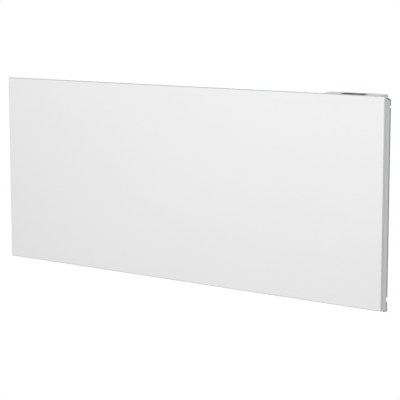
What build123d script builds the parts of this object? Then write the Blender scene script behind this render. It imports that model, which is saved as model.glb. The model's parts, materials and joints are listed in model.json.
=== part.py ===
from build123d import *
import math
import os

# Wall panel convector heater. Millimetres, +Z up, +X right as seen from the room, front towards -Y.
# The origin is the middle of the four wall screw holes, on the wall plane.

# Front panel
panel_width = 810.0
panel_height = 340.0
panel_depth = 84.0  # wall to the front of the glass
glass_thick = 5.0
glass_corner = 2.0
glass_arris = 1.2
tape_thick = 1.0
tape_width = 12.0
tape_margin = 13.0  # panel edge to the tape
steel = 0.8  # sheet of the tray, the pan and the duct cover
fit_gap = 0.1  # between nested sheets
clear = 0.3  # round pieces that drop in or move

# Casing behind the glass: a shallow tray and a pan nested in it, both leaning down towards the wall
tray_depth = 10.0
rim_depth = 5.0  # rim of the pan that shows behind the tray
lap_depth = 5.0  # length of pan wall hidden in the tray
top_lean = 5.4  # drop of the top face over the casing's depth
bottom_lean = 4.2
upper_seam = 2.0  # open corner seams of the folded side walls
lower_seam = 1.0
upper_notch_drop = 17.5  # below the top of the glass
upper_notch_height = 3.3
upper_notch_depth = 4.8
lower_notch_rise = 16.1  # above the bottom of the glass
lower_notch_height = 7.5
lower_notch_depth = 5.8
notch_reach = 2.3  # how far the notches cut in from the pan's side
notch_roundness = 0.8  # corner radius as a share of half the notch's height

# Air duct behind the pan
duct_depth = 29.0
duct_left_inset = 33.0  # panel's side to the duct
duct_to_housing = 21.0
duct_top_drop = 20.0  # below the top of the glass
duct_bottom_rise = 18.0
brim = 9.0
window_inset = 3.0
slot_width = 5.0
slot_pitch = 9.0
slot_margin = 6.0
cover_screw_inset = 32.0
cover_screws_per_side = 4

# Heat shield
shield_thick = 0.5
shield_gap = 4.2  # tray plate to the shield
shield_margin = 9.0  # inside the duct
shield_foot_radius = 8.0
shield_foot_inset = 60.0
shield_feet_per_row = 4

# Heating element
element_rise = 60.0  # above the bottom of the glass
element_arm = 19.0
element_arm_thick = 2.2
element_arm_angle = 40.0
element_boss_radius = 6.5
core_radius = 4.0
core_gap = 0.1
fins_left_margin = 32.0
fins_right_margin = 56.0
core_overhang = 12.0
bracket_thick = 1.5
bracket_width = 22.0
bracket_foot = 12.0
cap_radius = 9.0
cap_length = 10.0
cap_grip = 6.0  # length of core inside the cap
blade_width = 6.3  # spade terminals
blade_thick = 0.8
blade_length = 7.0
blade_spacing = 8.0

# Limit thermostat
limiter_from_right = 86.0  # duct's right wall to its middle
limiter_above_element = 55.0
limiter_radius = 8.0
limiter_depth = 9.0
limiter_flange_width = 26.0
limiter_flange_height = 14.0
limiter_flange_thick = 1.0

# Control housing, through the casing at the top right
housing_from_side = 14.4  # panel's side to the housing
housing_width = 103.6
housing_depth = 30.2  # from the tray plate towards the wall
housing_height = 143.0
housing_wall = 2.0
housing_corner = 3.0
cover_height = 7.8
cover_proud = 0.8  # cover above the top of the glass
cover_fall = 1.2  # drop of the cover's front strip, which carries the display
cover_wall = 2.5
cover_left_corner = 8.0
cover_arris = 0.6
cover_tab_thick = 1.2
cover_tab_width = 14.0
cover_tab_length = 8.0
cover_tab_inset = 10.0
ear_width = 8.0
ear_thick = 2.0
ear_height = 14.0
ear_inset = 12.0

# Display and keys
display_width = 45.5
display_depth = 16.0
display_thick = 1.6
display_ledge = 2.0
display_offset = 1.6  # cover's front edge to the window
display_from_housing = 49.85  # housing's right side to the display's middle
display_gap = 0.3
key_radius = 3.5
key_flange_radius = 4.3
key_flange_thick = 1.5
key_stem_radius = 2.0
key_pitch = 13.0
key_proud = 0.3
key_travel = 0.6
key_setback = 6.4  # behind the display window
key_names = ["power", "minus", "plus", "menu"]

# Boards
board_thick = 1.6
control_board_drop = 16.4  # top of the glass to the board's top
control_board_margin = 1.0
ledge_width = 6.0
ledge_height = 6.0
switch_size = 6.0
switch_height = 3.5
plunger_radius = 1.7
plunger_height = 1.5
post_height = 4.2
post_radius = 3.0
power_board_side_gap = 3.8  # to the housing walls
power_board_rise = 22.0  # housing bottom to the board
power_board_top_gap = 12.0  # below the control board
board_hole_inset = 4.5
board_screw_radius = 1.5
board_screw_head = 2.8
board_screw_head_height = 1.8
transformer_size = (28.0, 19.0, 28.0)
relay_size = (19.0, 16.0, 16.0)
block_size = (30.0, 12.0, 10.0)
capacitor_radius = 5.0
capacitor_length = 16.0
capacitor_pitch = 14.0
ribbon_width = 12.0
ribbon_thick = 0.8
ribbon_lap = 12.0  # soldered length on the power board
board_margin = 8.0  # power board's edge to its components

# Cord entry
gland_bore = 3.6
gland_neck = 5.0
gland_flange = 7.5
gland_flange_thick = 2.5
gland_tail = 14.0
gland_shoulder = 6.0
gland_tip = 4.8
clamp_width = 28.0
clamp_height = 10.0
clamp_bar_thick = 4.0
clamp_rise = 5.0  # housing floor to the clamp
clamp_screw_spacing = 18.0
clamp_screw_radius = 1.6

# Earth stud
earth_radius = 2.0
earth_length = 9.0
nut_across = 7.0
nut_thick = 3.2
earth_from_housing = 7.8
earth_rise = 38.0

# Room sensor
sensor_from_side = 20.0
sensor_rise = 16.0
sensor_radius = 2.5
sensor_length = 12.0
clip_width = 12.0
clip_height = 8.0
clip_mouth_width = 3.6
vent_count = 4
vent_width = 3.0
vent_pitch = 6.0

# Leads
lead_radius = 1.3
lead_standoff = 1.1  # power board to the leads
lead_run = 18.0  # straight run at a terminal
earth_loop = 19.0  # height of the earth lead's loop over the terminal block
port_inset = 5.0
port_pitch = 8.0
port_to_clamp = 3.0  # nearest lead to the clamp
sensor_lead_radius = 1.0

# Screws
screw_radius = 2.0
screw_head_radius = 3.5
flush_head = 0.5
screw_head_height = 2.0
screw_length = 6.0
tray_screws = 5
tray_screw_margin = 40.0
tray_screw_setback = 2.6

# Wall bracket
arm_from_side = 215.0  # panel's side to the middle of the arm
arm_width = 30.0
arm_gap = 3.0  # arms to the duct cover
arm_over = 3.0  # arm above the spring clips
bracket_steel = 1.5
hole_radius = 3.0
hole_rise = 80.0  # screw holes above and below the middle
rail_height = 24.0
pivot_rise = 22.0  # duct bottom to the pivot
hook_radius = 7.0
pin_radius = 3.0
pin_play = 0.1
hook_entry = 14.0  # pivot to the mouth of the hook
foot_drop = 14.0  # lowest point of the arm below the pivot
pad_height = 20.0
pad_wall = 1.2
pad_grip = 5.0
pad_above_middle = 40.0

# Hanging lugs and catches on the heater
lug_gap = 2.0  # arm to lug, each side
lug_thick = 1.5
lug_height = 24.0
lug_round = 6.5
pin_overhang = 2.0
rivet_radius = 2.5
rivet_shank = 1.6
rivet_height = 1.2
rivet_spacing = 14.0
catch_height = 24.0
catch_thick = 2.0
catch_reach = 21.0
catch_base = 16.0
catch_drop = 30.0  # duct top to the middle of the catches
clip_leaf = 0.6
clip_mouth = 4.0
clip_foot = 6.0
clip_setback = 9.0  # arm's front edge to the clip's mouth
clip_throat = 8.0  # mouth to where the leaves pinch

plate_width = 60.0
plate_height = 35.0
plate_thick = 0.3
plate_inset = 72.0  # duct's left side to the rating plate's middle

# Planes, from the glass back to the wall
glass_front = -panel_depth
glass_back = glass_front + glass_thick
plate_front = glass_back + tape_thick
plate_back = plate_front + steel
tray_back = plate_front + tray_depth
pan_front = tray_back - lap_depth
pan_back = tray_back + rim_depth
pan_inner = pan_back - steel
duct_back = pan_back + duct_depth
duct_inner = duct_back - steel
shield_front = plate_back + shield_gap
half_width = panel_width / 2
housing_right = half_width - housing_from_side
housing_left = housing_right - housing_width
display_centre = housing_right - display_from_housing
duct_left = duct_left_inset - half_width
duct_right = housing_left - duct_to_housing
plate_x = duct_left + plate_inset
top = panel_height / 2
bottom = -panel_height / 2
duct_top = top - duct_top_drop
duct_bottom = bottom + duct_bottom_rise
element_z = bottom + element_rise
element_y = (shield_front + shield_thick + duct_inner) / 2
housing_back = plate_back + housing_depth
cover_top = top + cover_proud
housing_top = cover_top - cover_height
housing_bottom = housing_top - housing_height
cover_front = glass_back + clear
arm_depth = -duct_back - arm_gap
pivot_y = hook_radius - arm_depth
pivot_z = duct_bottom + pivot_rise
catch_z = duct_top - catch_drop
arm_top = catch_z + catch_height / 2 + arm_over
clip_tip = arm_depth - clip_setback
clip_pinch = clip_tip - clip_throat
arm_x = half_width - arm_from_side
inside_y = plate_back + housing_wall
inside_left = housing_left + housing_wall
inside_right = housing_right - housing_wall
inside_back = housing_back - housing_wall
cord_x = (housing_left + housing_right) / 2
cord_y = pan_back + clear + gland_flange
over = 1.0  # how far a cutter runs past what it cuts


def block(x0, x1, y0, y1, z0, z1):
    return Pos((x0 + x1) / 2, (y0 + y1) / 2, (z0 + z1) / 2) * Box(x1 - x0, y1 - y0, z1 - z0)


def rod_x(x0, x1, y, z, radius):
    return Pos((x0 + x1) / 2, y, z) * Rot(0, 90, 0) * Cylinder(radius, x1 - x0)


def rod_y(x, y0, y1, z, radius):
    return Pos(x, (y0 + y1) / 2, z) * Rot(90, 0, 0) * Cylinder(radius, y1 - y0)


def rod_z(x, y, z0, z1, radius):
    return Pos(x, y, (z0 + z1) / 2) * Cylinder(radius, z1 - z0)


def group(solids):
    return Compound(children=list(solids))


def spread(first, last, count):
    """Evenly spaced places from first to last."""
    step = (last - first) / (count - 1)
    return [first + step * i for i in range(count)]


def mirrored(solid):
    return mirror(solid, about=Plane.YZ)


def top_at(y):
    """Height of the casing's top face, which leans down towards the wall."""
    return top - top_lean * (y - glass_front) / (pan_back - glass_front)


def bottom_at(y):
    return bottom - bottom_lean * (y - glass_front) / (pan_back - glass_front)


def casing_block(y0, y1, inset, side=0.0):
    """Solid of the casing's leaning section, drawn in by inset all round; side widens it."""
    corners = [
        (y0, bottom_at(y0) + inset),
        (y1, bottom_at(y1) + inset),
        (y1, top_at(y1) - inset),
        (y0, top_at(y0) - inset),
    ]
    section = Plane.YZ * make_face(Polyline(*corners, close=True))
    return extrude(section, amount=half_width - inset + side, both=True)


def side_seams(y0, y1, inset):
    """Slits where the folded side walls end short of the top and bottom walls."""
    inner = half_width - inset - fit_gap / 2
    outer = half_width + 3 * over
    ring = casing_block(y0, y1, inset, inset + over)
    ring -= block(-inner, inner, y0 - over, y1 + over, -panel_height, panel_height)
    seams = []
    for height, low, high in [(upper_seam, 0, panel_height), (lower_seam, -panel_height, 0)]:
        slit = ring - casing_block(y0, y1, inset + height, inset + height + 2 * over)
        seams.append(slit & block(-outer, outer, y0 - over, y1 + over, low, high))
    return seams


# Glass and casing

def glass_panel():
    panel = block(-half_width, half_width, glass_front, glass_back, bottom, top)
    panel = fillet(panel.edges().filter_by(Axis.Y), glass_corner)
    return chamfer(panel.edges().group_by(Axis.Y)[0], glass_arris)


def bonding_tape():
    reach = half_width - tape_margin
    outer = top - tape_margin
    half = tape_width / 2
    centres = spread(outer - half, half - outer, 3)
    return group(
        block(-reach, reach, glass_back, plate_front, z - half, z + half) for z in centres
    )


def housing_opening(y0, y1, from_z):
    return block(housing_left - clear, housing_right + clear, y0, y1, from_z, top + over)


def tray_screw_frames():
    """Places on the bottom face, with Z pointing in, square to the face."""
    y = tray_back - tray_screw_setback
    lean = -math.degrees(math.atan(bottom_lean / (pan_back - glass_front)))
    places = spread(-half_width + tray_screw_margin, half_width - tray_screw_margin, tray_screws)
    return [Pos(x, y, bottom_at(y)) * Rot(lean, 0, 0) for x in places]


def tray_screw_holes():
    return [frame * Cylinder(screw_radius + fit_gap, 4 * steel + over) for frame in tray_screw_frames()]


def vent_slots():
    """Slots under the room sensor, through the bottom walls of the tray and the pan."""
    last = half_width - sensor_from_side + (vent_count - 1) * vent_pitch / 2
    places = [last - vent_pitch * i for i in range(vent_count)]
    low = bottom - bottom_lean - over
    high = bottom + 2 * steel + over
    half = vent_width / 2
    return [block(x - half, x + half, plate_back + over, pan_inner - over, low, high) for x in places]


def front_tray():
    tray = casing_block(plate_front, tray_back, 0)
    tray -= casing_block(plate_back, tray_back + over, steel)
    tray -= housing_opening(plate_front - over, tray_back + over, housing_top - clear)
    for cut in side_seams(plate_back, tray_back + over, steel) + vent_slots() + tray_screw_holes():
        tray -= cut
    return tray


def notches():
    """Assembly notches at the back edge of the pan's side walls."""
    inner = half_width - steel - fit_gap - notch_reach
    upper_z = top - upper_notch_drop
    lower_z = bottom + lower_notch_rise
    cuts = []
    outer = half_width + over
    for z, height, depth in [
        (upper_z, upper_notch_height, upper_notch_depth),
        (lower_z, lower_notch_height, lower_notch_depth),
    ]:
        half = height / 2
        cut = block(inner, outer, pan_back - depth, pan_back + over, z - half, z + half)
        edges = cut.edges().filter_by(Axis.X).group_by(Axis.Y)[0]
        cut = fillet(edges, half * notch_roundness)
        cuts += [cut, mirrored(cut)]
    return cuts


def brim_screw_places():
    places = []
    for x in spread(duct_left + cover_screw_inset, duct_right - cover_screw_inset, cover_screws_per_side):
        places += [(x, duct_top + brim / 2), (x, duct_bottom - brim / 2)]
    return places


def ear_places():
    """Middle of each housing ear."""
    rows = [housing_bottom + ear_inset + ear_height / 2, housing_top - ear_inset - ear_height / 2]
    return [(x, z) for z in rows for x in (housing_left - ear_width / 2, housing_right + ear_width / 2)]


def rear_pan():
    outer = steel + fit_gap
    pan = casing_block(pan_front, pan_back, outer)
    pan -= casing_block(pan_front - over, pan_inner, outer + steel)
    pan -= block(
        duct_left + steel + window_inset,
        duct_right - steel - window_inset,
        pan_inner - over,
        pan_back + over,
        duct_bottom + steel + window_inset,
        duct_top - steel - window_inset,
    )
    pan -= housing_opening(pan_front - over, pan_back + over, housing_bottom - clear)
    seams = side_seams(pan_front - over, pan_inner, outer + steel)
    for cut in seams + notches() + vent_slots() + tray_screw_holes():
        pan -= cut
    for x, z in brim_screw_places() + ear_places():
        pan -= rod_y(x, pan_inner - over, pan_back + over, z, screw_radius + fit_gap)
    return pan


def air_slots(z0, z1):
    first = duct_left + slot_margin + slot_width / 2 + steel
    last = duct_right - slot_margin - slot_width / 2 - steel
    count = int((last - first) / slot_pitch)
    start = (first + last - count * slot_pitch) / 2
    half = slot_width / 2
    y0, y1 = pan_back + slot_margin, duct_inner - slot_margin
    places = [start + slot_pitch * i for i in range(count + 1)]
    return [block(x - half, x + half, y0, y1, z0, z1) for x in places]


def duct_cover():
    cover = block(duct_left, duct_right, pan_back, duct_back, duct_bottom, duct_top)
    cover += block(
        duct_left - brim, duct_right + brim, pan_back, pan_back + steel, duct_bottom - brim, duct_top + brim
    )
    cover -= block(
        duct_left + steel,
        duct_right - steel,
        pan_back - over,
        duct_inner,
        duct_bottom + steel,
        duct_top - steel,
    )
    slots = air_slots(duct_top - steel - over, duct_top + over)
    slots += air_slots(duct_bottom - over, duct_bottom + steel + over)
    cover -= group(slots)
    for x, z in brim_screw_places():
        cover -= rod_y(x, pan_back - over, pan_back + steel + over, z, screw_radius + fit_gap)
    for x, z in rivet_places():
        cover -= rod_y(x, duct_inner - over, duct_back + over, z, rivet_shank + fit_gap)
    return cover


def heat_shield():
    left = duct_left + steel + shield_margin
    right = duct_right - steel - shield_margin
    low = duct_bottom + steel + shield_margin
    high = duct_top - steel - shield_margin
    shield = block(left, right, shield_front, shield_front + shield_thick, low, high)
    for z in (low + shield_foot_inset, high - shield_foot_inset):
        for x in spread(left + shield_foot_inset, right - shield_foot_inset, shield_feet_per_row):
            shield += rod_y(x, plate_back, shield_front + shield_thick, z, shield_foot_radius)
            inner = shield_foot_radius - shield_thick
            shield -= rod_y(x, plate_back + shield_thick, shield_front + shield_thick + over, z, inner)
    return shield


# Heating element

fins_left = duct_left + fins_left_margin
fins_right = duct_right - fins_right_margin
core_left = fins_left - core_overhang
core_right = fins_right + core_overhang


def element_fins():
    length = fins_right - fins_left
    middle = Pos((fins_left + fins_right) / 2, element_y, element_z)
    arm = Box(length, element_arm_thick, 2 * element_arm)
    fins = middle * Rot(element_arm_angle, 0, 0) * arm
    fins += middle * Rot(-element_arm_angle, 0, 0) * arm
    fins += rod_x(fins_left, fins_right, element_y, element_z, element_boss_radius)
    return fins - rod_x(fins_left - over, fins_right + over, element_y, element_z, core_radius + core_gap)


def element_core():
    return rod_x(core_left, core_right, element_y, element_z, core_radius)


def element_brackets():
    """Two angles on the duct cover that carry the ends of the core."""
    brackets = []
    reach = core_radius + bracket_foot / 2
    for x, side in ((fins_left - 2 * bracket_thick, -1), (fins_right + 2 * bracket_thick, 1)):
        half = bracket_thick / 2
        low, high = element_z - bracket_width / 2, element_z + bracket_width / 2
        bracket = block(x - half, x + half, element_y - reach, duct_inner, low, high)
        foot = sorted((x - side * half, x - side * bracket_foot))
        bracket += block(foot[0], foot[1], duct_inner - bracket_thick, duct_inner, low, high)
        bracket -= rod_x(x - over, x + over, element_y, element_z, core_radius + core_gap)
        brackets.append(bracket)
    return group(brackets)


def end_caps():
    """Ceramic caps on the ends of the core."""
    right_start, left_end = core_right - cap_grip, core_left + cap_grip
    right = rod_x(right_start, right_start + cap_length, element_y, element_z, cap_radius)
    left = rod_x(left_end - cap_length, left_end, element_y, element_z, cap_radius)
    bore = rod_x(core_left, core_right, element_y, element_z, core_radius + core_gap)
    return group([right - bore, left - bore])


def element_terminals():
    """Spade terminals in the right end cap, one above the other."""
    x = core_right - cap_grip + cap_length
    half, thin = blade_width / 2, blade_thick / 2
    places = [element_z + side * blade_spacing / 2 for side in (-1, 1)]
    return group(
        block(x, x + blade_length, element_y - half, element_y + half, z - thin, z + thin) for z in places
    )


limiter_x = duct_right - limiter_from_right
limiter_z = element_z + limiter_above_element
limiter_front = duct_inner - limiter_flange_thick - limiter_depth


def limit_thermostat():
    width, height = limiter_flange_width / 2, limiter_flange_height / 2
    y = duct_inner - limiter_flange_thick
    body = block(limiter_x - width, limiter_x + width, y, duct_inner, limiter_z - height, limiter_z + height)
    body += rod_y(limiter_x, limiter_front, duct_inner, limiter_z, limiter_radius)
    for side in (-1, 1):
        x = limiter_x + side * blade_spacing / 2
        body += block(
            x - blade_thick / 2,
            x + blade_thick / 2,
            limiter_front - blade_length,
            limiter_front + over,
            limiter_z - blade_width / 2,
            limiter_z + blade_width / 2,
        )
    return body


# Control housing and what it holds

board_top = top - control_board_drop
board_bottom = board_top - board_thick
display_y0 = cover_front + display_offset
display_y1 = display_y0 + display_depth
strip_back = display_y1 + display_offset
key_y = display_y1 + key_setback
key_places = [display_centre + key_pitch * (i - (len(key_names) - 1) / 2) for i in range(len(key_names))]
power_y = inside_y + post_height
power_face = power_y + board_thick
power_left = inside_left + power_board_side_gap
power_right = inside_right - power_board_side_gap
power_low = housing_bottom + power_board_rise
power_high = board_bottom - power_board_top_gap
last_port = cord_x - clamp_width / 2 - port_to_clamp
block_x = last_port - port_inset - port_pitch * 2
block_low = power_low + board_margin
lead_y = power_face + lead_radius + lead_standoff


def rounded_case(y0, z0, z1, left_corner, right_corner):
    case = block(housing_left, housing_right, y0, housing_back, z0, z1)
    uprights = case.edges().filter_by(Axis.Z).group_by(Axis.X)
    case = fillet(uprights[0], left_corner)
    uprights = case.edges().filter_by(Axis.Z).group_by(Axis.X)
    return fillet(uprights[-1], right_corner)


def post_places():
    inset = board_hole_inset
    rows = (power_low + inset, power_high - inset)
    return [(x, z) for x in (power_left + inset, power_right - inset) for z in rows]


def ledge_screw_places():
    rows = spread(inside_y + ledge_width, inside_back - ledge_width, 2)
    return [(x, y) for x in (inside_left + ledge_width / 2, inside_right - ledge_width / 2) for y in rows]


def crossing(points, along, value):
    """Where a lead first crosses the plane at value along X (0) or Z (2)."""
    for a, b in zip(points, points[1:]):
        if min(a[along], b[along]) < value < max(a[along], b[along]):
            share = (value - a[along]) / (b[along] - a[along])
            return [p + (q - p) * share for p, q in zip(a, b)]


def control_housing():
    case = rounded_case(plate_back, housing_bottom, housing_top, housing_corner, housing_corner)
    floor = housing_bottom + housing_wall
    case -= block(inside_left, inside_right, inside_y, inside_back, floor, housing_top + over)
    for x0, x1 in ((inside_left, inside_left + ledge_width), (inside_right - ledge_width, inside_right)):
        case += block(x0, x1, inside_y, inside_back, board_bottom - ledge_height, board_bottom)
    for x, z in post_places():
        case += rod_y(x, inside_y - over, power_y, z, post_radius)
    for x, z in post_places():
        case -= rod_y(x, inside_y, power_y + over, z, board_screw_radius + fit_gap)
    ledge_low = board_bottom - ledge_height
    for x, y in ledge_screw_places():
        case -= rod_z(x, y, ledge_low - over, board_bottom + over, board_screw_radius + fit_gap)
    for x, z in ear_places():
        half, tall = ear_width / 2, ear_height / 2
        case += block(x - half, x + half, pan_back, pan_back + ear_thick, z - tall, z + tall)
    for x, z in ear_places():
        case -= rod_y(x, pan_back - over, pan_back + ear_thick + over, z, screw_radius + fit_gap)
    half = clamp_width / 2
    z = floor + clamp_rise
    case += block(cord_x - half, cord_x + half, inside_y, cord_y, z, z + clamp_height)
    case -= rod_z(cord_x, cord_y, z - over, z + clamp_height + over, gland_bore)
    for x in clamp_screw_places():
        case -= rod_y(x, inside_y, cord_y + over, z + clamp_height / 2, clamp_screw_radius + fit_gap)
    case -= rod_z(cord_x, cord_y, housing_bottom - over, floor + over, gland_neck + fit_gap)
    for route in (live_route, neutral_route, earth_route):
        x, y, z = crossing(route, 0, housing_left + housing_wall / 2)
        case -= rod_x(housing_left - over, inside_left + over, y, z, lead_radius + 2 * clear)
    x, y, z = crossing(sensor_route, 2, floor)
    case -= rod_z(x, y, housing_bottom - over, floor + over, sensor_lead_radius + 2 * clear)
    return case


def strip_top(y):
    """Height of the cover's front strip, which falls towards the glass."""
    return cover_top - cover_fall * (strip_back - y) / (strip_back - cover_front)


def above_strip(depth):
    """Space over the front strip, starting depth below its face."""
    front = cover_front - over
    corners = [
        (front, strip_top(front) - depth),
        (strip_back, cover_top - depth),
        (strip_back, cover_top + over),
        (front, cover_top + over),
    ]
    section = Plane.YZ * make_face(Polyline(*corners, close=True))
    return extrude(section, amount=panel_width, both=True)


def control_cover():
    cover = rounded_case(cover_front, housing_top, cover_top, cover_left_corner, housing_corner)
    cover = chamfer(cover.faces().sort_by(Axis.Z)[-1].edges(), cover_arris)
    cover -= above_strip(0)
    hollow = block(
        housing_left + cover_wall,
        housing_right - cover_wall,
        cover_front + cover_wall,
        housing_back - cover_wall,
        housing_top - over,
        cover_top - cover_wall,
    )
    hollow -= above_strip(cover_wall)
    uprights = hollow.edges().filter_by(Axis.Z).group_by(Axis.X)[0]
    cover -= fillet(uprights, cover_left_corner - cover_wall)
    x0, x1 = display_centre - display_width / 2, display_centre + display_width / 2
    gap, ledge = fit_gap, display_ledge
    under, above = cover_top - cover_wall - cover_fall - over, cover_top + over
    recess = block(x0 - gap, x1 + gap, display_y0 - gap, display_y1 + gap, under, above)
    cover -= recess & above_strip(display_thick)
    cover -= block(x0 + ledge, x1 - ledge, display_y0 + ledge, display_y1 - ledge, under, above)
    for x in key_places:
        cover -= rod_z(x, key_y, under, above, key_radius + clear)
    for x in spread(inside_left + cover_tab_inset, inside_right - cover_tab_inset, 2):
        half = cover_tab_width / 2
        low, high = housing_top - cover_tab_length, cover_top - cover_wall
        front = inside_y + fit_gap
        back = inside_back - fit_gap
        cover += block(x - half, x + half, front, front + cover_tab_thick, low, high)
        cover += block(x - half, x + half, back - cover_tab_thick, back, low, high)
        rear_root = housing_back - cover_wall
        front_root = cover_front + cover_wall
        cover += block(x - half, x + half, back - cover_tab_thick, rear_root, housing_top, high)
        cover += block(x - half, x + half, front_root, front + cover_tab_thick, housing_top, high)
    return cover


def display_window():
    left, right = display_centre - display_width / 2, display_centre + display_width / 2
    window = block(left, right, display_y0, display_y1, housing_top, cover_top)
    return (window & above_strip(display_thick)) - above_strip(0)


def display_module():
    inset = display_ledge + display_gap
    half = display_width / 2 - inset
    left, right = display_centre - half, display_centre + half
    high = strip_top(display_y0 + inset) - display_thick - display_gap
    return block(left, right, display_y0 + inset, display_y1 - inset, board_top, high)


def control_board():
    gap = control_board_margin
    left, right = inside_left + gap, inside_right - gap
    board = block(left, right, inside_y + gap, inside_back - gap, board_bottom, board_top)
    for x, y in ledge_screw_places():
        board -= rod_z(x, y, board_bottom - over, board_top + over, board_screw_radius + fit_gap)
    return board


def key_switches():
    half = switch_size / 2
    switches = []
    for x in key_places:
        switch = block(x - half, x + half, key_y - half, key_y + half, board_top, board_top + switch_height)
        height = switch_height + plunger_height
        switches.append(switch + rod_z(x, key_y, board_top, board_top + height, plunger_radius))
    return group(switches)


def key(x):
    """One push key: cap, the flange that keeps it under the cover, and the stem over its switch."""
    low = board_top + switch_height + plunger_height + key_travel + fit_gap
    flange_top = cover_top - cover_wall - clear
    cap = rod_z(x, key_y, flange_top, cover_top + key_proud, key_radius)
    cap = chamfer(cap.edges().sort_by(Axis.Z)[-1], key_proud)
    cap += rod_z(x, key_y, flange_top - key_flange_thick, flange_top, key_flange_radius)
    return cap + rod_z(x, key_y, low, flange_top, key_stem_radius)


def power_board():
    board = block(power_left, power_right, power_y, power_face, power_low, power_high)
    for x, z in post_places():
        board -= rod_y(x, power_y - over, power_face + over, z, board_screw_radius + fit_gap)
    return board


def on_power_board(x, z, size):
    """A component whose lower left corner stands at x, z on the board's back."""
    return block(x, x + size[0], power_face, power_face + size[1], z, z + size[2])


def transformer():
    height = transformer_size[2]
    return on_power_board(power_left + board_margin, power_high - board_margin - height, transformer_size)


def relay():
    x = power_right - 2 * board_margin - relay_size[0]
    return on_power_board(x, power_high - 2 * board_margin - relay_size[2], relay_size)


def capacitors():
    x = power_right - board_margin - capacitor_radius
    back = power_face + capacitor_length
    first = power_low + 3 * board_margin
    rows = [first, first + capacitor_pitch]
    return group(rod_y(x, power_face, back, z, capacitor_radius) for z in rows)


def terminal_block():
    return on_power_board(block_x, block_low, block_size)


def ribbon():
    """Flat cable from the power board's back up to the control board."""
    x = cord_x - ribbon_width / 2
    low = power_high - ribbon_lap
    return block(x, x + ribbon_width, power_face, power_face + ribbon_thick, low, board_bottom)


def cord_gland():
    floor = housing_bottom + housing_wall
    tail_top = housing_bottom - gland_flange_thick
    gland = rod_z(cord_x, cord_y, tail_top, housing_bottom, gland_flange)
    gland += rod_z(cord_x, cord_y, housing_bottom, floor, gland_neck)
    gland += Pos(cord_x, cord_y, tail_top - gland_tail / 2) * Cone(gland_tip, gland_shoulder, gland_tail)
    return gland - rod_z(cord_x, cord_y, tail_top - gland_tail - over, floor + over, gland_bore)


def clamp_screw_places():
    half = clamp_screw_spacing / 2
    return [cord_x - half, cord_x + half]


def clamp_bar():
    half = clamp_width / 2
    z = housing_bottom + housing_wall + clamp_rise
    bar = block(cord_x - half, cord_x + half, cord_y, cord_y + clamp_bar_thick, z, z + clamp_height)
    bar -= rod_z(cord_x, cord_y, z - over, z + clamp_height + over, gland_bore)
    middle = z + clamp_height / 2
    for x in clamp_screw_places():
        bar -= rod_y(x, cord_y - over, cord_y + clamp_bar_thick + over, middle, clamp_screw_radius + fit_gap)
    return bar


# Screws

def screw_y(x, seat, z, radius, length, head, height):
    """Screw along Y whose head stands on the seat, towards the wall."""
    return rod_y(x, seat - length, seat, z, radius) + rod_y(x, seat, seat + height, z, head)


def tray_screw_group():
    screws = []
    for frame in tray_screw_frames():
        shank = Pos(0, 0, screw_length / 2) * Cylinder(screw_radius, screw_length)
        head = Pos(0, 0, -flush_head / 2) * Cylinder(screw_head_radius, flush_head)
        screws.append(frame * (shank + head))
    return group(screws)


def cover_screws():
    seat = pan_back + steel
    return group(
        screw_y(x, seat, z, screw_radius, screw_length, screw_head_radius, screw_head_height)
        for x, z in brim_screw_places()
    )


def housing_screws():
    seat = pan_back + ear_thick
    return group(
        screw_y(x, seat, z, screw_radius, screw_length, screw_head_radius, screw_head_height)
        for x, z in ear_places()
    )


def board_screws():
    length = post_height + board_thick - fit_gap
    screws = [
        screw_y(x, power_face, z, board_screw_radius, length, board_screw_head, board_screw_head_height)
        for x, z in post_places()
    ]
    for x, y in ledge_screw_places():
        screw = rod_z(x, y, board_top - length, board_top, board_screw_radius)
        screws.append(screw + rod_z(x, y, board_top, board_top + board_screw_head_height, board_screw_head))
    return group(screws)


def clamp_screws():
    z = housing_bottom + housing_wall + clamp_rise + clamp_height / 2
    seat = cord_y + clamp_bar_thick
    length = clamp_bar_thick + screw_length
    return group(
        screw_y(x, seat, z, clamp_screw_radius, length, board_screw_head, board_screw_head_height)
        for x in clamp_screw_places()
    )


# Earth stud, sensor and leads

earth_x = housing_left - earth_from_housing
earth_z = housing_bottom + earth_rise
sensor_x = half_width - sensor_from_side
sensor_z = bottom + sensor_rise
sensor_y = pan_inner - clip_height / 2
sensor_top = sensor_z + sensor_length / 2
limiter_tabs = [limiter_x - blade_spacing / 2, limiter_x + blade_spacing / 2]
limiter_tab_end = limiter_front - blade_length
terminal_end = core_right - cap_grip + cap_length + blade_length
block_ports = [block_x + port_inset + port_pitch * i for i in range(3)]

# Routes of the internal leads, end to end, each point set from what it passes
nut_y = pan_inner - nut_thick / 2
loop_z = block_low + block_size[2] + earth_loop
upper_terminal = element_z + blade_spacing / 2
lower_terminal = element_z - blade_spacing / 2
sensor_lead_x = power_right - board_margin
board_middle = power_y + board_thick / 2
earth_route = [
    (block_ports[0], lead_y, block_low + block_size[2]),
    (block_ports[0], lead_y, loop_z),
    (earth_x, nut_y, loop_z + 1.0),
    (earth_x, nut_y, earth_z + nut_across / 2),
]
live_route = [
    (block_ports[1], lead_y, block_low),
    (block_ports[1], lead_y, housing_bottom + 7.5),
    (housing_left - 15.0, pan_inner - 2.7, housing_bottom + 6.0),
    (duct_right - 18.0, pan_inner - 1.2, housing_bottom - 18.0),
    (duct_right - 38.0, pan_inner + 0.8, limiter_z + 33.0),
    (limiter_x + 28.0, pan_inner - 1.2, limiter_z + 13.0),
    (limiter_tabs[1], limiter_tab_end - lead_run, limiter_z),
    (limiter_tabs[1], limiter_tab_end, limiter_z),
]
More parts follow.
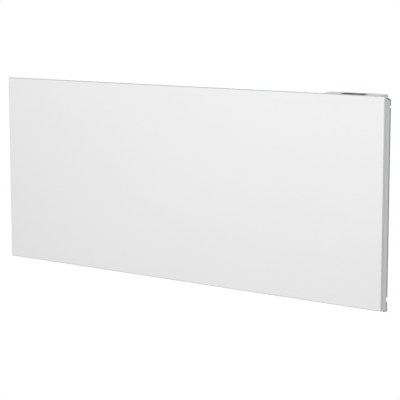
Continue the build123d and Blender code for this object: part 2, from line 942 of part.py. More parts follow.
link_route = [
    (limiter_tabs[0], limiter_tab_end, limiter_z),
    (limiter_tabs[0], limiter_tab_end - lead_run, limiter_z),
    (limiter_x + 24.0, pan_inner - 1.2, limiter_z - 11.0),
    (terminal_end - 1.0, pan_inner + 2.8, element_z + 42.0),
    (terminal_end + 16.0, element_y - 3.4, element_z + 26.0),
    (terminal_end + lead_run, element_y, upper_terminal),
    (terminal_end, element_y, upper_terminal),
]
neutral_route = [
    (block_ports[2], lead_y, block_low),
    (block_ports[2], lead_y, housing_bottom + 3.8),
    (housing_left - 7.0, pan_inner - 2.2, housing_bottom + 3.5),
    (duct_right - 3.0, pan_inner - 2.7, housing_bottom - 12.0),
    (duct_right - 9.0, pan_inner - 1.2, housing_bottom - 32.0),
    (duct_right - 7.0, pan_inner + 4.8, element_z + 64.0),
    (duct_right - 6.5, element_y - 1.8, element_z + 29.0),
    (duct_right - 9.0, element_y, lower_terminal),
    (terminal_end, element_y, lower_terminal),
]
sensor_route = [
    (sensor_lead_x, board_middle, power_low),
    (sensor_lead_x, board_middle, housing_bottom - 16.0),
    (sensor_lead_x + 2.0, pan_inner - 5.0, sensor_top + 114.0),
    (sensor_x - 1.6, pan_inner - 4.4, sensor_top + 76.0),
    (sensor_x, sensor_y, sensor_top + 38.0),
    (sensor_x, sensor_y, sensor_top),
]


def lead(name, points, radius):
    """Insulated lead along a route, each corner an arc of 0.45 of its shorter run."""
    runs = [math.dist(a, b) for a, b in zip(points, points[1:])]
    radii = []
    for i in range(1, len(points) - 1):
        before = Vector(*points[i]) - Vector(*points[i - 1])
        after = Vector(*points[i + 1]) - Vector(*points[i])
        half_turn = math.radians(before.get_angle(after)) / 2
        radii.append(0.45 * min(runs[i - 1], runs[i]) / math.tan(half_turn))
    path = FilletPolyline(*points, radius=radii)
    section = Plane(origin=path @ 0, z_dir=path % 0) * Circle(radius)
    tube = sweep(section, path=path)
    share = tube.volume / (math.pi * radius**2 * path.length)
    print(name, "radii", [round(r, 1) for r in radii])
    print(name, "length", round(path.length, 1), "volume over section times length", round(share, 4))
    return tube


def earth_stud():
    return rod_y(earth_x, pan_inner - earth_length, pan_inner, earth_z, earth_radius)


def earth_nut():
    across = nut_across / 2
    hexagon = RegularPolygon(across, 6, major_radius=False, rotation=30)
    nut = Plane(origin=(earth_x, pan_inner, earth_z), z_dir=(0, -1, 0)) * hexagon
    nut = extrude(nut, amount=nut_thick)
    bore = earth_radius + fit_gap / 2
    return nut - rod_y(earth_x, pan_inner - nut_thick - over, pan_inner + over, earth_z, bore)


def room_sensor():
    return rod_z(sensor_x, sensor_y, sensor_z - sensor_length / 2, sensor_top, sensor_radius)


def sensor_clip():
    """Clip on the pan that holds the sensor, open towards the room."""
    half = clip_width / 2
    low, high = sensor_z - clip_height / 2, sensor_z + clip_height / 2
    clip = block(sensor_x - half, sensor_x + half, sensor_y - sensor_radius, pan_inner, low, high)
    clip -= rod_z(sensor_x, sensor_y, low - over, high + over, sensor_radius + fit_gap)
    mouth = clip_mouth_width / 2
    left, right = sensor_x - mouth, sensor_x + mouth
    return clip - block(left, right, sensor_y - sensor_radius - over, sensor_y, low - over, high + over)


# Wall bracket; each piece is made for the right side and mirrored where it comes in pairs

def both(piece):
    return group([piece, mirrored(piece)])


def hook_cut(x0, x1):
    """Slot of the hook: in from the front, then down to the pivot."""
    half = pin_radius + pin_play
    entry = pivot_z + hook_entry
    cut = block(x0, x1, -arm_depth - over, pivot_y + half, entry, entry + 2 * half)
    cut += block(x0, x1, pivot_y - half, pivot_y + half, pivot_z, entry + 2 * half)
    return cut + rod_x(x0, x1, pivot_y, pivot_z, half)


def wall_arm():
    left, right = arm_x - arm_width / 2, arm_x + arm_width / 2
    foot = pivot_z - foot_drop
    profile = Polyline(
        (0, foot),
        (pivot_y, pivot_z - hook_radius),
        (pivot_y, pivot_z),
        (-arm_depth, pivot_z),
        (-arm_depth, arm_top),
        (0, arm_top),
        close=True,
    )
    plane = Plane(origin=(left, 0, 0), x_dir=(0, 1, 0), z_dir=(1, 0, 0))
    side = extrude(plane * make_face(profile), amount=arm_width)
    side += rod_x(left, right, pivot_y, pivot_z, hook_radius)
    inner_left, inner_right = left + bracket_steel, right - bracket_steel
    front = -arm_depth - over
    arm = side - block(inner_left, inner_right, front, -bracket_steel, foot - over, arm_top + over)
    arm -= hook_cut(left - over, right + over)
    for z in (-hole_rise, hole_rise):
        arm -= rod_y(arm_x, -bracket_steel - over, over, z, hole_radius)
    return arm


def wall_rail(z):
    reach = arm_x - arm_width / 2
    return block(-reach, reach, -bracket_steel, 0, z - rail_height / 2, z + rail_height / 2)


def stop_pads():
    """Rubber trim on the arms' front edges, just short of the duct cover."""
    front = duct_back + clear
    low, high = pad_above_middle - pad_height / 2, pad_above_middle + pad_height / 2
    pads = []
    for x in (arm_x - arm_width / 2, arm_x + arm_width / 2 - bracket_steel):
        pad = block(x - pad_wall, x + bracket_steel + pad_wall, front, -arm_depth + pad_grip, low, high)
        pad -= block(x, x + bracket_steel, -arm_depth, -arm_depth + pad_grip + over, low - over, high + over)
        pads += [pad, mirrored(pad)]
    return group(pads)


def spring_clips():
    """Leaf clips on the arms that pinch the heater's catch blades."""
    pinch = catch_thick / 2 + clear
    low = catch_z - catch_height / 2
    foot_y = -bracket_steel - clip_leaf
    reach = clip_foot + clip_leaf
    clip = block(arm_x - reach, arm_x + reach, foot_y, -bracket_steel, low, low + catch_height)
    for side in (-1, 1):
        leaf = Polyline(
            (arm_x + side * clip_foot, foot_y),
            (arm_x + side * pinch, -clip_pinch),
            (arm_x + side * clip_mouth, -clip_tip),
            (arm_x + side * (clip_mouth + clip_leaf), -clip_tip),
            (arm_x + side * (pinch + clip_leaf), -clip_pinch),
            (arm_x + side * (clip_foot + clip_leaf), foot_y),
            close=True,
        )
        clip += extrude(Plane.XY.offset(low) * make_face(leaf), amount=catch_height)
    return both(clip)


# What hangs the heater on the bracket

def rivet_places():
    """Rivets of the lugs and the catches, on the duct cover."""
    half = rivet_spacing / 2
    places = [(side * arm_x + s * half, pivot_z) for side in (-1, 1) for s in (-1, 1)]
    catch_half = catch_base / 2 - rivet_radius - fit_gap
    places += [(side * arm_x + s * catch_half, catch_z) for side in (-1, 1) for s in (-1, 1)]
    return places


def hanging_lugs():
    inner = arm_width / 2 + lug_gap
    outer = inner + lug_thick
    low, high = pivot_z - lug_height / 2, pivot_z + lug_height / 2
    lug = block(arm_x - outer, arm_x + outer, duct_back, duct_back + lug_thick, low, high)
    for side in (-1, 1):
        x0, x1 = sorted((arm_x + side * inner, arm_x + side * outer))
        lug += block(x0, x1, duct_back, pivot_y, pivot_z - lug_round, pivot_z + lug_round)
        lug += rod_x(x0, x1, pivot_y, pivot_z, lug_round)
    bore = pin_radius + fit_gap / 2
    lug -= rod_x(arm_x - outer - over, arm_x + outer + over, pivot_y, pivot_z, bore)
    for x, z in rivet_places():
        lug -= rod_y(x, duct_back - over, duct_back + lug_thick + over, z, rivet_shank + fit_gap)
    return both(lug)


def pivot_pins():
    reach = arm_width / 2 + lug_gap + lug_thick + pin_overhang
    return both(rod_x(arm_x - reach, arm_x + reach, pivot_y, pivot_z, pin_radius))


def catch_blades():
    half = catch_thick / 2
    low, high = catch_z - catch_height / 2, catch_z + catch_height / 2
    base = catch_base / 2
    catch = block(arm_x - base, arm_x + base, duct_back, duct_back + lug_thick, low, high)
    catch += block(arm_x - half, arm_x + half, duct_back, duct_back + catch_reach, low, high)
    for x, z in rivet_places():
        catch -= rod_y(x, duct_back - over, duct_back + lug_thick + over, z, rivet_shank + fit_gap)
    return both(catch)


def lug_rivets():
    seat = duct_back + lug_thick
    rivets = []
    for x, z in rivet_places():
        rivet = rod_y(x, duct_inner, seat, z, rivet_shank)
        rivet += rod_y(x, seat, seat + rivet_height, z, rivet_radius)
        rivet += rod_y(x, duct_inner - rivet_height, duct_inner, z, rivet_radius)
        rivets.append(rivet)
    return group(rivets)


def rating_plate():
    half, tall = plate_width / 2, plate_height / 2
    return block(plate_x - half, plate_x + half, duct_back, duct_back + plate_thick, -tall, tall)


right_arm = wall_arm()

parts = {
    "wall_arm_right": right_arm,
    "wall_arm_left": mirrored(right_arm),
    "wall_rail_top": wall_rail(hole_rise),
    "wall_rail_bottom": wall_rail(-hole_rise),
    "spring_clips": spring_clips(),
    "stop_pads": stop_pads(),
    "glass_panel": glass_panel(),
    "bonding_tape": bonding_tape(),
    "front_tray": front_tray(),
    "rear_pan": rear_pan(),
    "duct_cover": duct_cover(),
    "heat_shield": heat_shield(),
    "element_fins": element_fins(),
    "element_core": element_core(),
    "element_brackets": element_brackets(),
    "element_end_caps": end_caps(),
    "element_terminals": element_terminals(),
    "limit_thermostat": limit_thermostat(),
    "control_housing": control_housing(),
    "control_cover": control_cover(),
    "display_window": display_window(),
    "display_module": display_module(),
    "control_board": control_board(),
    "key_switches": key_switches(),
    "power_board": power_board(),
    "transformer": transformer(),
    "relay": relay(),
    "capacitors": capacitors(),
    "terminal_block": terminal_block(),
    "board_ribbon": ribbon(),
    "cord_gland": cord_gland(),
    "cord_clamp_bar": clamp_bar(),
    "earth_stud": earth_stud(),
    "earth_nut": earth_nut(),
    "room_sensor": room_sensor(),
    "sensor_clip": sensor_clip(),
    "live_lead": lead("live_lead", live_route, lead_radius),
    "link_lead": lead("link_lead", link_route, lead_radius),
    "neutral_lead": lead("neutral_lead", neutral_route, lead_radius),
    "earth_lead": lead("earth_lead", earth_route, lead_radius),
    "sensor_lead": lead("sensor_lead", sensor_route, sensor_lead_radius),
    "tray_screws": tray_screw_group(),
    "cover_screws": cover_screws(),
    "housing_screws": housing_screws(),
    "board_screws": board_screws(),
    "clamp_screws": clamp_screws(),
    "hanging_lugs": hanging_lugs(),
    "pivot_pins": pivot_pins(),
    "catch_blades": catch_blades(),
    "lug_rivets": lug_rivets(),
    "rating_plate": rating_plate(),
}
for name, x in zip(key_names, key_places):
    parts["key_" + name] = key(x)

os.makedirs("parts", exist_ok=True)
for name, shape in parts.items():
    export_step(shape, "parts/" + name + ".step")
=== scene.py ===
import bpy
import bmesh
import json
from math import pi, radians
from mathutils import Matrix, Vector


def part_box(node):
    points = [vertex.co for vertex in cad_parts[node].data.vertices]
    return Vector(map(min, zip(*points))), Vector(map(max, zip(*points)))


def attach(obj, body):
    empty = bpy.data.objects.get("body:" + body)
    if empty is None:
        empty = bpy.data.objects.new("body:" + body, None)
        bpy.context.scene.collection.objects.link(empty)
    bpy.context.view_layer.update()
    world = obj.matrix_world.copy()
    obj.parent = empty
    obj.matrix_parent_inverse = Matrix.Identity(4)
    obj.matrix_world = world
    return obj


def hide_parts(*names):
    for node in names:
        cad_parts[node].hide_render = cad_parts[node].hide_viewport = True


# White glass panel convector heater, dressed on its CAD frame. Metres, front towards -Y, up +Z.
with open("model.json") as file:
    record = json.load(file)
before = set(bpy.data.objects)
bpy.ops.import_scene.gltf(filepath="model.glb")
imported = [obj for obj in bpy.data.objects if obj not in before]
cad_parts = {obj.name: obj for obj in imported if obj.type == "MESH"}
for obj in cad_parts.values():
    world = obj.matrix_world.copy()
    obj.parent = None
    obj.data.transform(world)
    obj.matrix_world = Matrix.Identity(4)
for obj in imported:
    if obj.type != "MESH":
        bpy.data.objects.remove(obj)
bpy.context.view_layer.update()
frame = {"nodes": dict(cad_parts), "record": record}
recordSlots = {entry["node"]: entry["material_slot"] for entry in frame["record"]["subparts"]}
mm = 0.001
near = 0.01  # millimetres within which a point lies at a level
straight = 0.99  # least cosine of a face that looks straight along an axis
alongX, alongY = (0, radians(90), 0), (radians(90), 0, 0)  # turns that lay an upright rod along X or Y
print("frame loaded:", len(frame["nodes"]), "nodes")


# Small tools that every piece uses. They take millimetres, and axes as 0, 1 and 2 for X, Y and Z.

def linearColor(hexValue):
    # sRGB hex to the linear colour that the shader wants
    parts = [int(hexValue[i:i + 2], 16) / 255 for i in (1, 3, 5)]
    return [p / 12.92 if p <= 0.04045 else ((p + 0.055) / 1.055) ** 2.4 for p in parts] + [1.0]


def addNode(tree, kind, settings=None, links=None):
    # settings: node options by name, socket values by label or number; links: socket to source
    node = tree.nodes.new(kind)
    for key, value in (settings or {}).items():
        if isinstance(key, str) and hasattr(node, key):
            setattr(node, key, value)
    for key, value in (settings or {}).items():
        if not (isinstance(key, str) and hasattr(node, key)):
            node.inputs[key].default_value = value
    for key, source in (links or {}).items():
        tree.links.new(source, node.inputs[key])
    return node


def nodeBox(nodeName):
    # lowest and highest corner of a CAD node, to a thousandth of a millimetre
    return [[round(v / mm, 3) for v in corner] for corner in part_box(nodeName)]


def clearSelection():
    if bpy.context.mode != "OBJECT":
        bpy.ops.object.mode_set(mode="OBJECT")
    bpy.ops.object.select_all(action="DESELECT")


def pickOnly(piece):
    clearSelection()
    piece.select_set(True)
    bpy.context.view_layer.objects.active = piece


def settle(piece):
    # put the piece's place into its mesh, so the object sits at the origin
    pickOnly(piece)
    bpy.ops.object.transform_apply(location=True, rotation=True, scale=True)


def addBlock(low, high):
    # a cube primitive grown to two corners
    clearSelection()
    middle = [(a + b) / 2 * mm for a, b in zip(low, high)]
    bpy.ops.mesh.primitive_cube_add(size=1, location=middle)
    piece = bpy.context.object
    piece.scale = [(b - a) * mm for a, b in zip(low, high)]
    settle(piece)
    return piece


def addRod(centre, radius, depth, sides=32, turn=(0, 0, 0)):
    # a cylinder primitive round its centre
    clearSelection()
    bpy.ops.mesh.primitive_cylinder_add(
        vertices=sides, radius=radius * mm, depth=depth * mm,
        location=[c * mm for c in centre], rotation=turn,
    )
    piece = bpy.context.object
    settle(piece)
    return piece


def editPiece(piece, kind="FACE"):
    pickOnly(piece)
    bpy.ops.object.mode_set(mode="EDIT")
    bpy.ops.mesh.select_mode(type=kind)
    bpy.ops.mesh.select_all(action="DESELECT")


def leaveEdit():
    bpy.ops.object.mode_set(mode="OBJECT")


def pickFaces(piece, test):
    # in edit mode: select the faces whose middle and normal pass the test
    bpy.ops.mesh.select_all(action="DESELECT")
    mesh = bmesh.from_edit_mesh(piece.data)
    for face in mesh.faces:
        if test(face.calc_center_median() / mm, face.normal):
            face.select_set(True)
    mesh.select_flush_mode()
    bmesh.update_edit_mesh(piece.data)


def pickEdges(piece, test):
    # in edit mode: select the edges whose two ends pass the test
    bpy.ops.mesh.select_all(action="DESELECT")
    mesh = bmesh.from_edit_mesh(piece.data)
    for edge in mesh.edges:
        if test(edge.verts[0].co / mm, edge.verts[1].co / mm):
            edge.select_set(True)
    mesh.select_flush_mode()
    bmesh.update_edit_mesh(piece.data)


def facesAt(axis, *levels):
    # test for faces that look along an axis, either way, and lie at one of the levels on it
    return lambda c, n: abs(n[axis]) > straight and any(abs(c[axis] - level) < near for level in levels)


def edgesAt(axis, *levels):
    # test for edges whose two ends lie at one level on an axis
    return lambda a, b: any(abs(a[axis] - level) < near and abs(b[axis] - level) < near for level in levels)


def edgesAlong(axis):
    # test for edges that run along an axis
    return lambda a, b: abs(a[axis] - b[axis]) > near


def edgesAcross(axis):
    # test for edges square to an axis
    return lambda a, b: abs(a[axis] - b[axis]) < near


def bevelEdges(piece, test, offset, segments=3):
    editPiece(piece, "EDGE")
    pickEdges(piece, test)
    bpy.ops.mesh.bevel(offset=offset * mm, segments=segments)
    leaveEdit()


def insetFaces(rim, sunk=0.0, apart=False):
    # in edit mode: the selected faces shrink by a rim and sink by so much, together or one by one
    bpy.ops.mesh.inset(thickness=rim * mm, depth=-sunk * mm, use_individual=apart)


def extrudeBy(shift, widen=1.0, centre=(0, 0, 0)):
    # in edit mode: the selected faces move out by a shift and grow in X and Y about a centre
    bpy.ops.mesh.extrude_region_move(TRANSFORM_OT_translate={"value": [s * mm for s in shift]})
    if widen != 1.0:
        bpy.ops.transform.resize(value=(widen, widen, 1), center_override=[c * mm for c in centre])


def turnAll(angle, axisName, centre=(0, 0, 0)):
    # in edit mode: the whole piece turns about a centre
    bpy.ops.mesh.select_all(action="SELECT")
    bpy.ops.transform.rotate(value=angle, orient_axis=axisName, center_override=[c * mm for c in centre])


def cutAcross(piece, axis, places):
    # new rings of edges where planes square to the axis cross the piece
    editPiece(piece)
    for place in places:
        point = [0.0, 0.0, 0.0]
        point[axis] = place * mm
        bpy.ops.mesh.select_all(action="SELECT")
        bpy.ops.mesh.bisect(plane_co=point, plane_no=[float(i == axis) for i in range(3)])
    leaveEdit()


def applyModifier(piece, kind, settings):
    pickOnly(piece)
    modifier = piece.modifiers.new(kind.lower(), kind)
    for key, value in settings.items():
        setattr(modifier, key, value)
    bpy.ops.object.modifier_apply(modifier=modifier.name)


def smoothPiece(piece, angle=30):
    pickOnly(piece)
    bpy.ops.object.shade_smooth_by_angle(angle=radians(angle))


def copyPiece(piece):
    # a copy with its own mesh
    twin = piece.copy()
    twin.data = piece.data.copy()
    bpy.context.collection.objects.link(twin)
    return twin


def joinPieces(pieces):
    if len(pieces) > 1:
        clearSelection()
        for piece in pieces:
            piece.select_set(True)
        bpy.context.view_layer.objects.active = pieces[0]
        bpy.ops.object.join()
    return pieces[0]


def paintPiece(piece, *surfaces):
    for surface in surfaces:
        piece.data.materials.append(surface)
    return piece


def paintWidest(piece, axis, number):
    # the widest face towards the + side of an axis takes another of the piece's materials
    faces = [face for face in piece.data.polygons if face.normal[axis] > straight]
    max(faces, key=lambda face: face.area).material_index = number


def dressPiece(piece, name, body, slotName, *nodes):
    # name it and hang it on its body; the CAD nodes it stands for stay out of sight
    piece.name = name
    piece.data.name = name
    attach(piece, body)
    if nodes:
        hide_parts(*nodes)


# Finishes. Object coordinates are in metres, so a pattern's size in millimetres is turned into its scale.
glassIor = 1.52
silkyGlare = 0.1  # specular level of a ground or textured skin, which has next to no glare at a low angle


def noiseScale(grainMm):
    return 1000 / grainMm


def waveScale(pitchMm):
    return 1000 / pitchMm * pi / 10  # a wave texture of scale 1 repeats every pi / 10


def newMaterial(name, finish):
    # a Principled material in the finish's light tone; hands back its tree, shader and Object coordinates
    material = bpy.data.materials.new(name)
    material.use_nodes = True
    material.diffuse_color = linearColor(finish["light"])
    tree = material.node_tree
    shader = tree.nodes["Principled BSDF"]
    shader.inputs["Base Color"].default_value = linearColor(finish["light"])
    shader.inputs["Roughness"].default_value = finish["roughness"]
    place = addNode(tree, "ShaderNodeTexCoord").outputs["Object"]
    return material, tree, shader, place


def variedColor(tree, shader, share, finish):
    # from the finish's dark tone to its light one, by a share that varies over the surface
    tones = {"data_type": "RGBA", 6: linearColor(finish["dark"]), 7: linearColor(finish["light"])}
    tone = addNode(tree, "ShaderNodeMix", tones, {0: share})
    tree.links.new(tone.outputs[2], shader.inputs["Base Color"])


def variedRoughness(tree, shader, share, finish, less, more):
    # smoother and rougher by so much on each side of the finish's own roughness
    limits = {"To Min": finish["roughness"] - less, "To Max": finish["roughness"] + more}
    span = addNode(tree, "ShaderNodeMapRange", limits, {"Value": share})
    tree.links.new(span.outputs[0], shader.inputs["Roughness"])


def tonedMaterial(name, finish, driftMm, detail=2.0):
    # its colour drifts slowly between two tones, as any real surface's does
    material, tree, shader, place = newMaterial(name, finish)
    pattern = {"Scale": noiseScale(driftMm), "Detail": detail}
    drift = addNode(tree, "ShaderNodeTexNoise", pattern, {"Vector": place})
    variedColor(tree, shader, drift.outputs[0], finish)
    return material, tree, shader, place


def addRelief(tree, shader, height, strength, depthMm, radiusMm=0.0, socket="Normal"):
    # bump from a height; a radius rounds the edges too, so that folds and moulded corners catch the light
    links = {"Height": height}
    if radiusMm:
        edges = addNode(tree, "ShaderNodeBevel", {"samples": 6, "Radius": radiusMm * mm})
        links["Normal"] = edges.outputs[0]
    relief = addNode(tree, "ShaderNodeBump", {"Strength": strength, "Distance": depthMm * mm}, links)
    tree.links.new(relief.outputs[0], shader.inputs[socket])


def grainRelief(tree, shader, place, grainMm, strength, depthMm, radiusMm=0.0):
    # fine relief of one noise; hands the noise back
    pattern = {"Scale": noiseScale(grainMm), "Detail": 2.0}
    grain = addNode(tree, "ShaderNodeTexNoise", pattern, {"Vector": place})
    addRelief(tree, shader, grain.outputs[0], strength, depthMm, radiusMm)
    return grain.outputs[0]


def backPaintedGlass(name, finish):
    # tempered soda-lime glass enamelled white on its back: flat and glossy, white under a clear skin
    material, tree, shader, place = tonedMaterial(name, finish, finish["waveMm"])
    shader.inputs["IOR"].default_value = glassIor
    shader.inputs["Coat Weight"].default_value = finish["coat"]
    shader.inputs["Coat Roughness"].default_value = 0.03
    shader.inputs["Coat IOR"].default_value = glassIor
    # roller wave of the tempering, drawn shallow so it only softens reflections
    pattern = {"Scale": waveScale(finish["waveMm"]), "Distortion": 1.5, "Detail": 1.0}
    wave = addNode(tree, "ShaderNodeTexWave", pattern, {"Vector": place})
    addRelief(tree, shader, wave.outputs[1], strength=0.15, depthMm=0.05, socket="Coat Normal")
    return material


def groundGlassEdge(name, finish):
    # cut edge of the glass, ground and seamed: satin, grey with a breath of green
    material, tree, shader, place = tonedMaterial(name, finish, driftMm=9)
    shader.inputs["IOR"].default_value = glassIor
    shader.inputs["Specular IOR Level"].default_value = silkyGlare
    # grinding lines run along the edge; the wheel's grit is far finer, and is drawn coarse enough to show
    sizes = [noiseScale(gritMm) for gritMm in finish["gritMm"]]
    stretch = addNode(tree, "ShaderNodeMapping", {"Scale": sizes}, {"Vector": place})
    grit = addNode(
        tree, "ShaderNodeTexNoise", {"Scale": 1.0, "Detail": 2.0}, {"Vector": stretch.outputs[0]}
    )
    addRelief(tree, shader, grit.outputs[0], strength=0.3, depthMm=0.05)
    variedRoughness(tree, shader, grit.outputs[0], finish, less=0.08, more=0.08)
    return material


def powderCoat(name, finish):
    # polyester powder coat on sheet steel: even paint with a faint orange peel and a soft sheen
    material, tree, shader, place = tonedMaterial(name, finish, driftMm=45)
    shader.inputs["Specular IOR Level"].default_value = 0.15
    peel = grainRelief(tree, shader, place, finish["grainMm"], strength=0.35, depthMm=0.06, radiusMm=0.3)
    variedRoughness(tree, shader, peel, finish, less=0.06, more=0.06)
    return material


def rolledSheet(name, finish):
    # mill-finish aluminium, foil and a transformer's iron sheets: bare grey metal, finely lined by rolling
    material, tree, shader, place = tonedMaterial(name, finish, driftMm=30)
    shader.inputs["Metallic"].default_value = 1.0
    sizes = [noiseScale(lineMm) for lineMm in finish["lineMm"]]
    stretch = addNode(tree, "ShaderNodeMapping", {"Scale": sizes}, {"Vector": place})
    lines = addNode(
        tree, "ShaderNodeTexNoise", {"Scale": 1.0, "Detail": 3.0}, {"Vector": stretch.outputs[0]}
    )
    addRelief(tree, shader, lines.outputs[0], strength=0.25, depthMm=0.04)
    variedRoughness(tree, shader, lines.outputs[0], finish, less=0.1, more=0.12)
    return material


def platedMetal(name, finish):
    # zinc, spring steel and brass: bright metal, a little cloudy from the bath or the temper
    material, tree, shader, place = tonedMaterial(name, finish, finish["cloudMm"], detail=4.0)
    shader.inputs["Metallic"].default_value = 1.0
    haze = grainRelief(tree, shader, place, finish["grainMm"], strength=0.3, depthMm=0.02)
    variedRoughness(tree, shader, haze, finish, less=0.08, more=0.12)
    return material


def heatedSteel(name, finish):
    # stainless sheath after its first heat: straw to brown tints in bands along the tube
    material, tree, shader, place = newMaterial(name, finish)
    shader.inputs["Metallic"].default_value = 1.0
    pattern = {"Scale": noiseScale(finish["bandMm"]), "Detail": 3.0}
    bands = addNode(tree, "ShaderNodeTexNoise", pattern, {"Vector": place})
    ramp = addNode(tree, "ShaderNodeValToRGB", None, {"Fac": bands.outputs[0]})
    stops = ramp.color_ramp.elements
    stops[0].position, stops[0].color = 0.3, linearColor(finish["dark"])
    stops[1].position, stops[1].color = 0.7, linearColor(finish["light"])
    stops.new(0.5).color = linearColor(finish["straw"])
    tree.links.new(ramp.outputs[0], shader.inputs["Base Color"])
    grainRelief(tree, shader, place, finish["grainMm"], strength=0.3, depthMm=0.02)
    return material


def moldedPlastic(name, finish):
    # moulded ABS or nylon with a spark-eroded texture: matt to satin, pores rather than peel
    material, tree, shader, place = tonedMaterial(name, finish, driftMm=25)
    shader.inputs["IOR"].default_value = 1.53
    shader.inputs["Specular IOR Level"].default_value = silkyGlare
    pattern = {"Scale": noiseScale(finish["grainMm"])}
    pores = addNode(tree, "ShaderNodeTexVoronoi", pattern, {"Vector": place})
    addRelief(tree, shader, pores.outputs["Distance"], strength=0.3, depthMm=0.03, radiusMm=0.4)
    variedRoughness(tree, shader, pores.outputs["Distance"], finish, less=0.05, more=0.08)
    return material


def smokedAcrylic(name, finish):
    # cast acrylic, smoked dark grey under an anti-glare film: dark at low angles too, a little scuffed
    material, tree, shader, place = tonedMaterial(name, finish, driftMm=16)
    shader.inputs["IOR"].default_value = 1.49
    shader.inputs["Specular IOR Level"].default_value = 0.0
    pattern = {"Scale": noiseScale(finish["scuffMm"]), "Detail": 5.0}
    scuffs = addNode(tree, "ShaderNodeTexNoise", pattern, {"Vector": place})
    variedRoughness(tree, shader, scuffs.outputs[0], finish, less=0.04, more=0.06)
    return material


def circuitBoard(name, finish):
    # glass-fibre board under green solder mask: copper tracks raise it a little, tinned pads stay bare
    material, tree, shader, place = newMaterial(name, finish)
    squares = {"distance": "MANHATTAN", "Scale": noiseScale(finish["regionMm"])}
    regions = addNode(tree, "ShaderNodeTexVoronoi", squares, {"Vector": place})
    region = addNode(tree, "ShaderNodeSeparateColor", None, {"Color": regions.outputs["Color"]})
    turned = addNode(tree, "ShaderNodeMath", {"operation": "GREATER_THAN", 1: 0.5}, {0: region.outputs[0]})
    upright, level = [
        addNode(
            tree, "ShaderNodeTexWave",
            {"wave_type": "BANDS", "bands_direction": heading, "Scale": waveScale(finish["trackMm"])},
            {"Vector": place},
        ) for heading in ("X", "Z")
    ]  # tracks stand upright in one region and lie level in the next
    chosen = addNode(
        tree, "ShaderNodeMix", {"data_type": "FLOAT"},
        {0: turned.outputs[0], 2: upright.outputs[1], 3: level.outputs[1]},
    )
    tracks = addNode(
        tree, "ShaderNodeMapRange", {"From Min": 0.72, "From Max": 0.8}, {"Value": chosen.outputs[0]}
    )
    scatter = {"Scale": noiseScale(finish["padMm"]), "Randomness": 0.8}
    holes = addNode(tree, "ShaderNodeTexVoronoi", scatter, {"Vector": place})
    pads = addNode(
        tree, "ShaderNodeMapRange", {"From Min": 0.16, "From Max": 0.13},
        {"Value": holes.outputs["Distance"]},
    )
    tones = {"data_type": "RGBA", 6: linearColor(finish["dark"]), 7: linearColor(finish["light"])}
    mask = addNode(tree, "ShaderNodeMix", tones, {0: tracks.outputs[0]})
    tone = addNode(
        tree, "ShaderNodeMix", {"data_type": "RGBA", 7: linearColor(finish["tin"])},
        {0: pads.outputs[0], 6: mask.outputs[2]},
    )
    tree.links.new(tone.outputs[2], shader.inputs["Base Color"])
    tree.links.new(pads.outputs[0], shader.inputs["Metallic"])
    addRelief(tree, shader, tracks.outputs[0], strength=0.5, depthMm=0.035)
    return material


def steatite(name, finish):
    # unglazed pressed ceramic: chalky off-white, faintly speckled
    material, tree, shader, place = newMaterial(name, finish)
    pattern = {"Scale": noiseScale(finish["speckMm"]), "Detail": 6.0}
    specks = addNode(tree, "ShaderNodeTexNoise", pattern, {"Vector": place})
    ramp = addNode(tree, "ShaderNodeValToRGB", None, {"Fac": specks.outputs[0]})
    stops = ramp.color_ramp.elements
    stops[0].position, stops[0].color = 0.32, linearColor(finish["dark"])
    stops[1].position, stops[1].color = 0.46, linearColor(finish["light"])
    tree.links.new(ramp.outputs[0], shader.inputs["Base Color"])
    grainRelief(tree, shader, place, finish["grainMm"], strength=0.5, depthMm=0.05)
    return material


def softPolymer(name, finish):
    # EPDM rubber and foam: dull, dusty, with a fine skin
    material, tree, shader, place = tonedMaterial(name, finish, driftMm=8, detail=4.0)
    shader.inputs["Sheen Weight"].default_value = finish["bloom"]
    shader.inputs["Sheen Roughness"].default_value = 0.5
    grainRelief(tree, shader, place, finish["grainMm"], strength=0.6, depthMm=0.08)
    return material


def siliconeSleeve(name, finish):
    # extruded silicone insulation: waxy colour, light drawn through the thin skin
    material, tree, shader, place = tonedMaterial(name, finish, driftMm=14)
    shader.inputs["IOR"].default_value = 1.41
    shader.inputs["Subsurface Weight"].default_value = 0.08
    shader.inputs["Subsurface Radius"].default_value = (0.8 * mm, 0.8 * mm, 0.8 * mm)
    skin = grainRelief(tree, shader, place, grainMm=1.5, strength=0.3, depthMm=0.04)
    variedRoughness(tree, shader, skin, finish, less=0.08, more=0.08)
    return material


def flatCable(name, finish):
    # grey PVC ribbon: round cores side by side, so it reads as fine ribs; the grooves between them are
    # painted darker, as shade
    material, tree, shader, place = newMaterial(name, finish)
    pattern = {"wave_type": "BANDS", "bands_direction": "X", "Scale": waveScale(finish["coreMm"])}
    ribsAndShade = addNode(tree, "ShaderNodeTexWave", pattern, {"Vector": place})
    # painted shade: darker in the grooves between the cores, lighter on their crests
    variedColor(tree, shader, ribsAndShade.outputs[1], finish)
    addRelief(tree, shader, ribsAndShade.outputs[1], strength=0.8, depthMm=0.3)
    return material


def printedMark(name, finish):
    # pad-printed ink on the keys: flat dark grey, a hair uneven
    return tonedMaterial(name, finish, driftMm=1.5)[0]


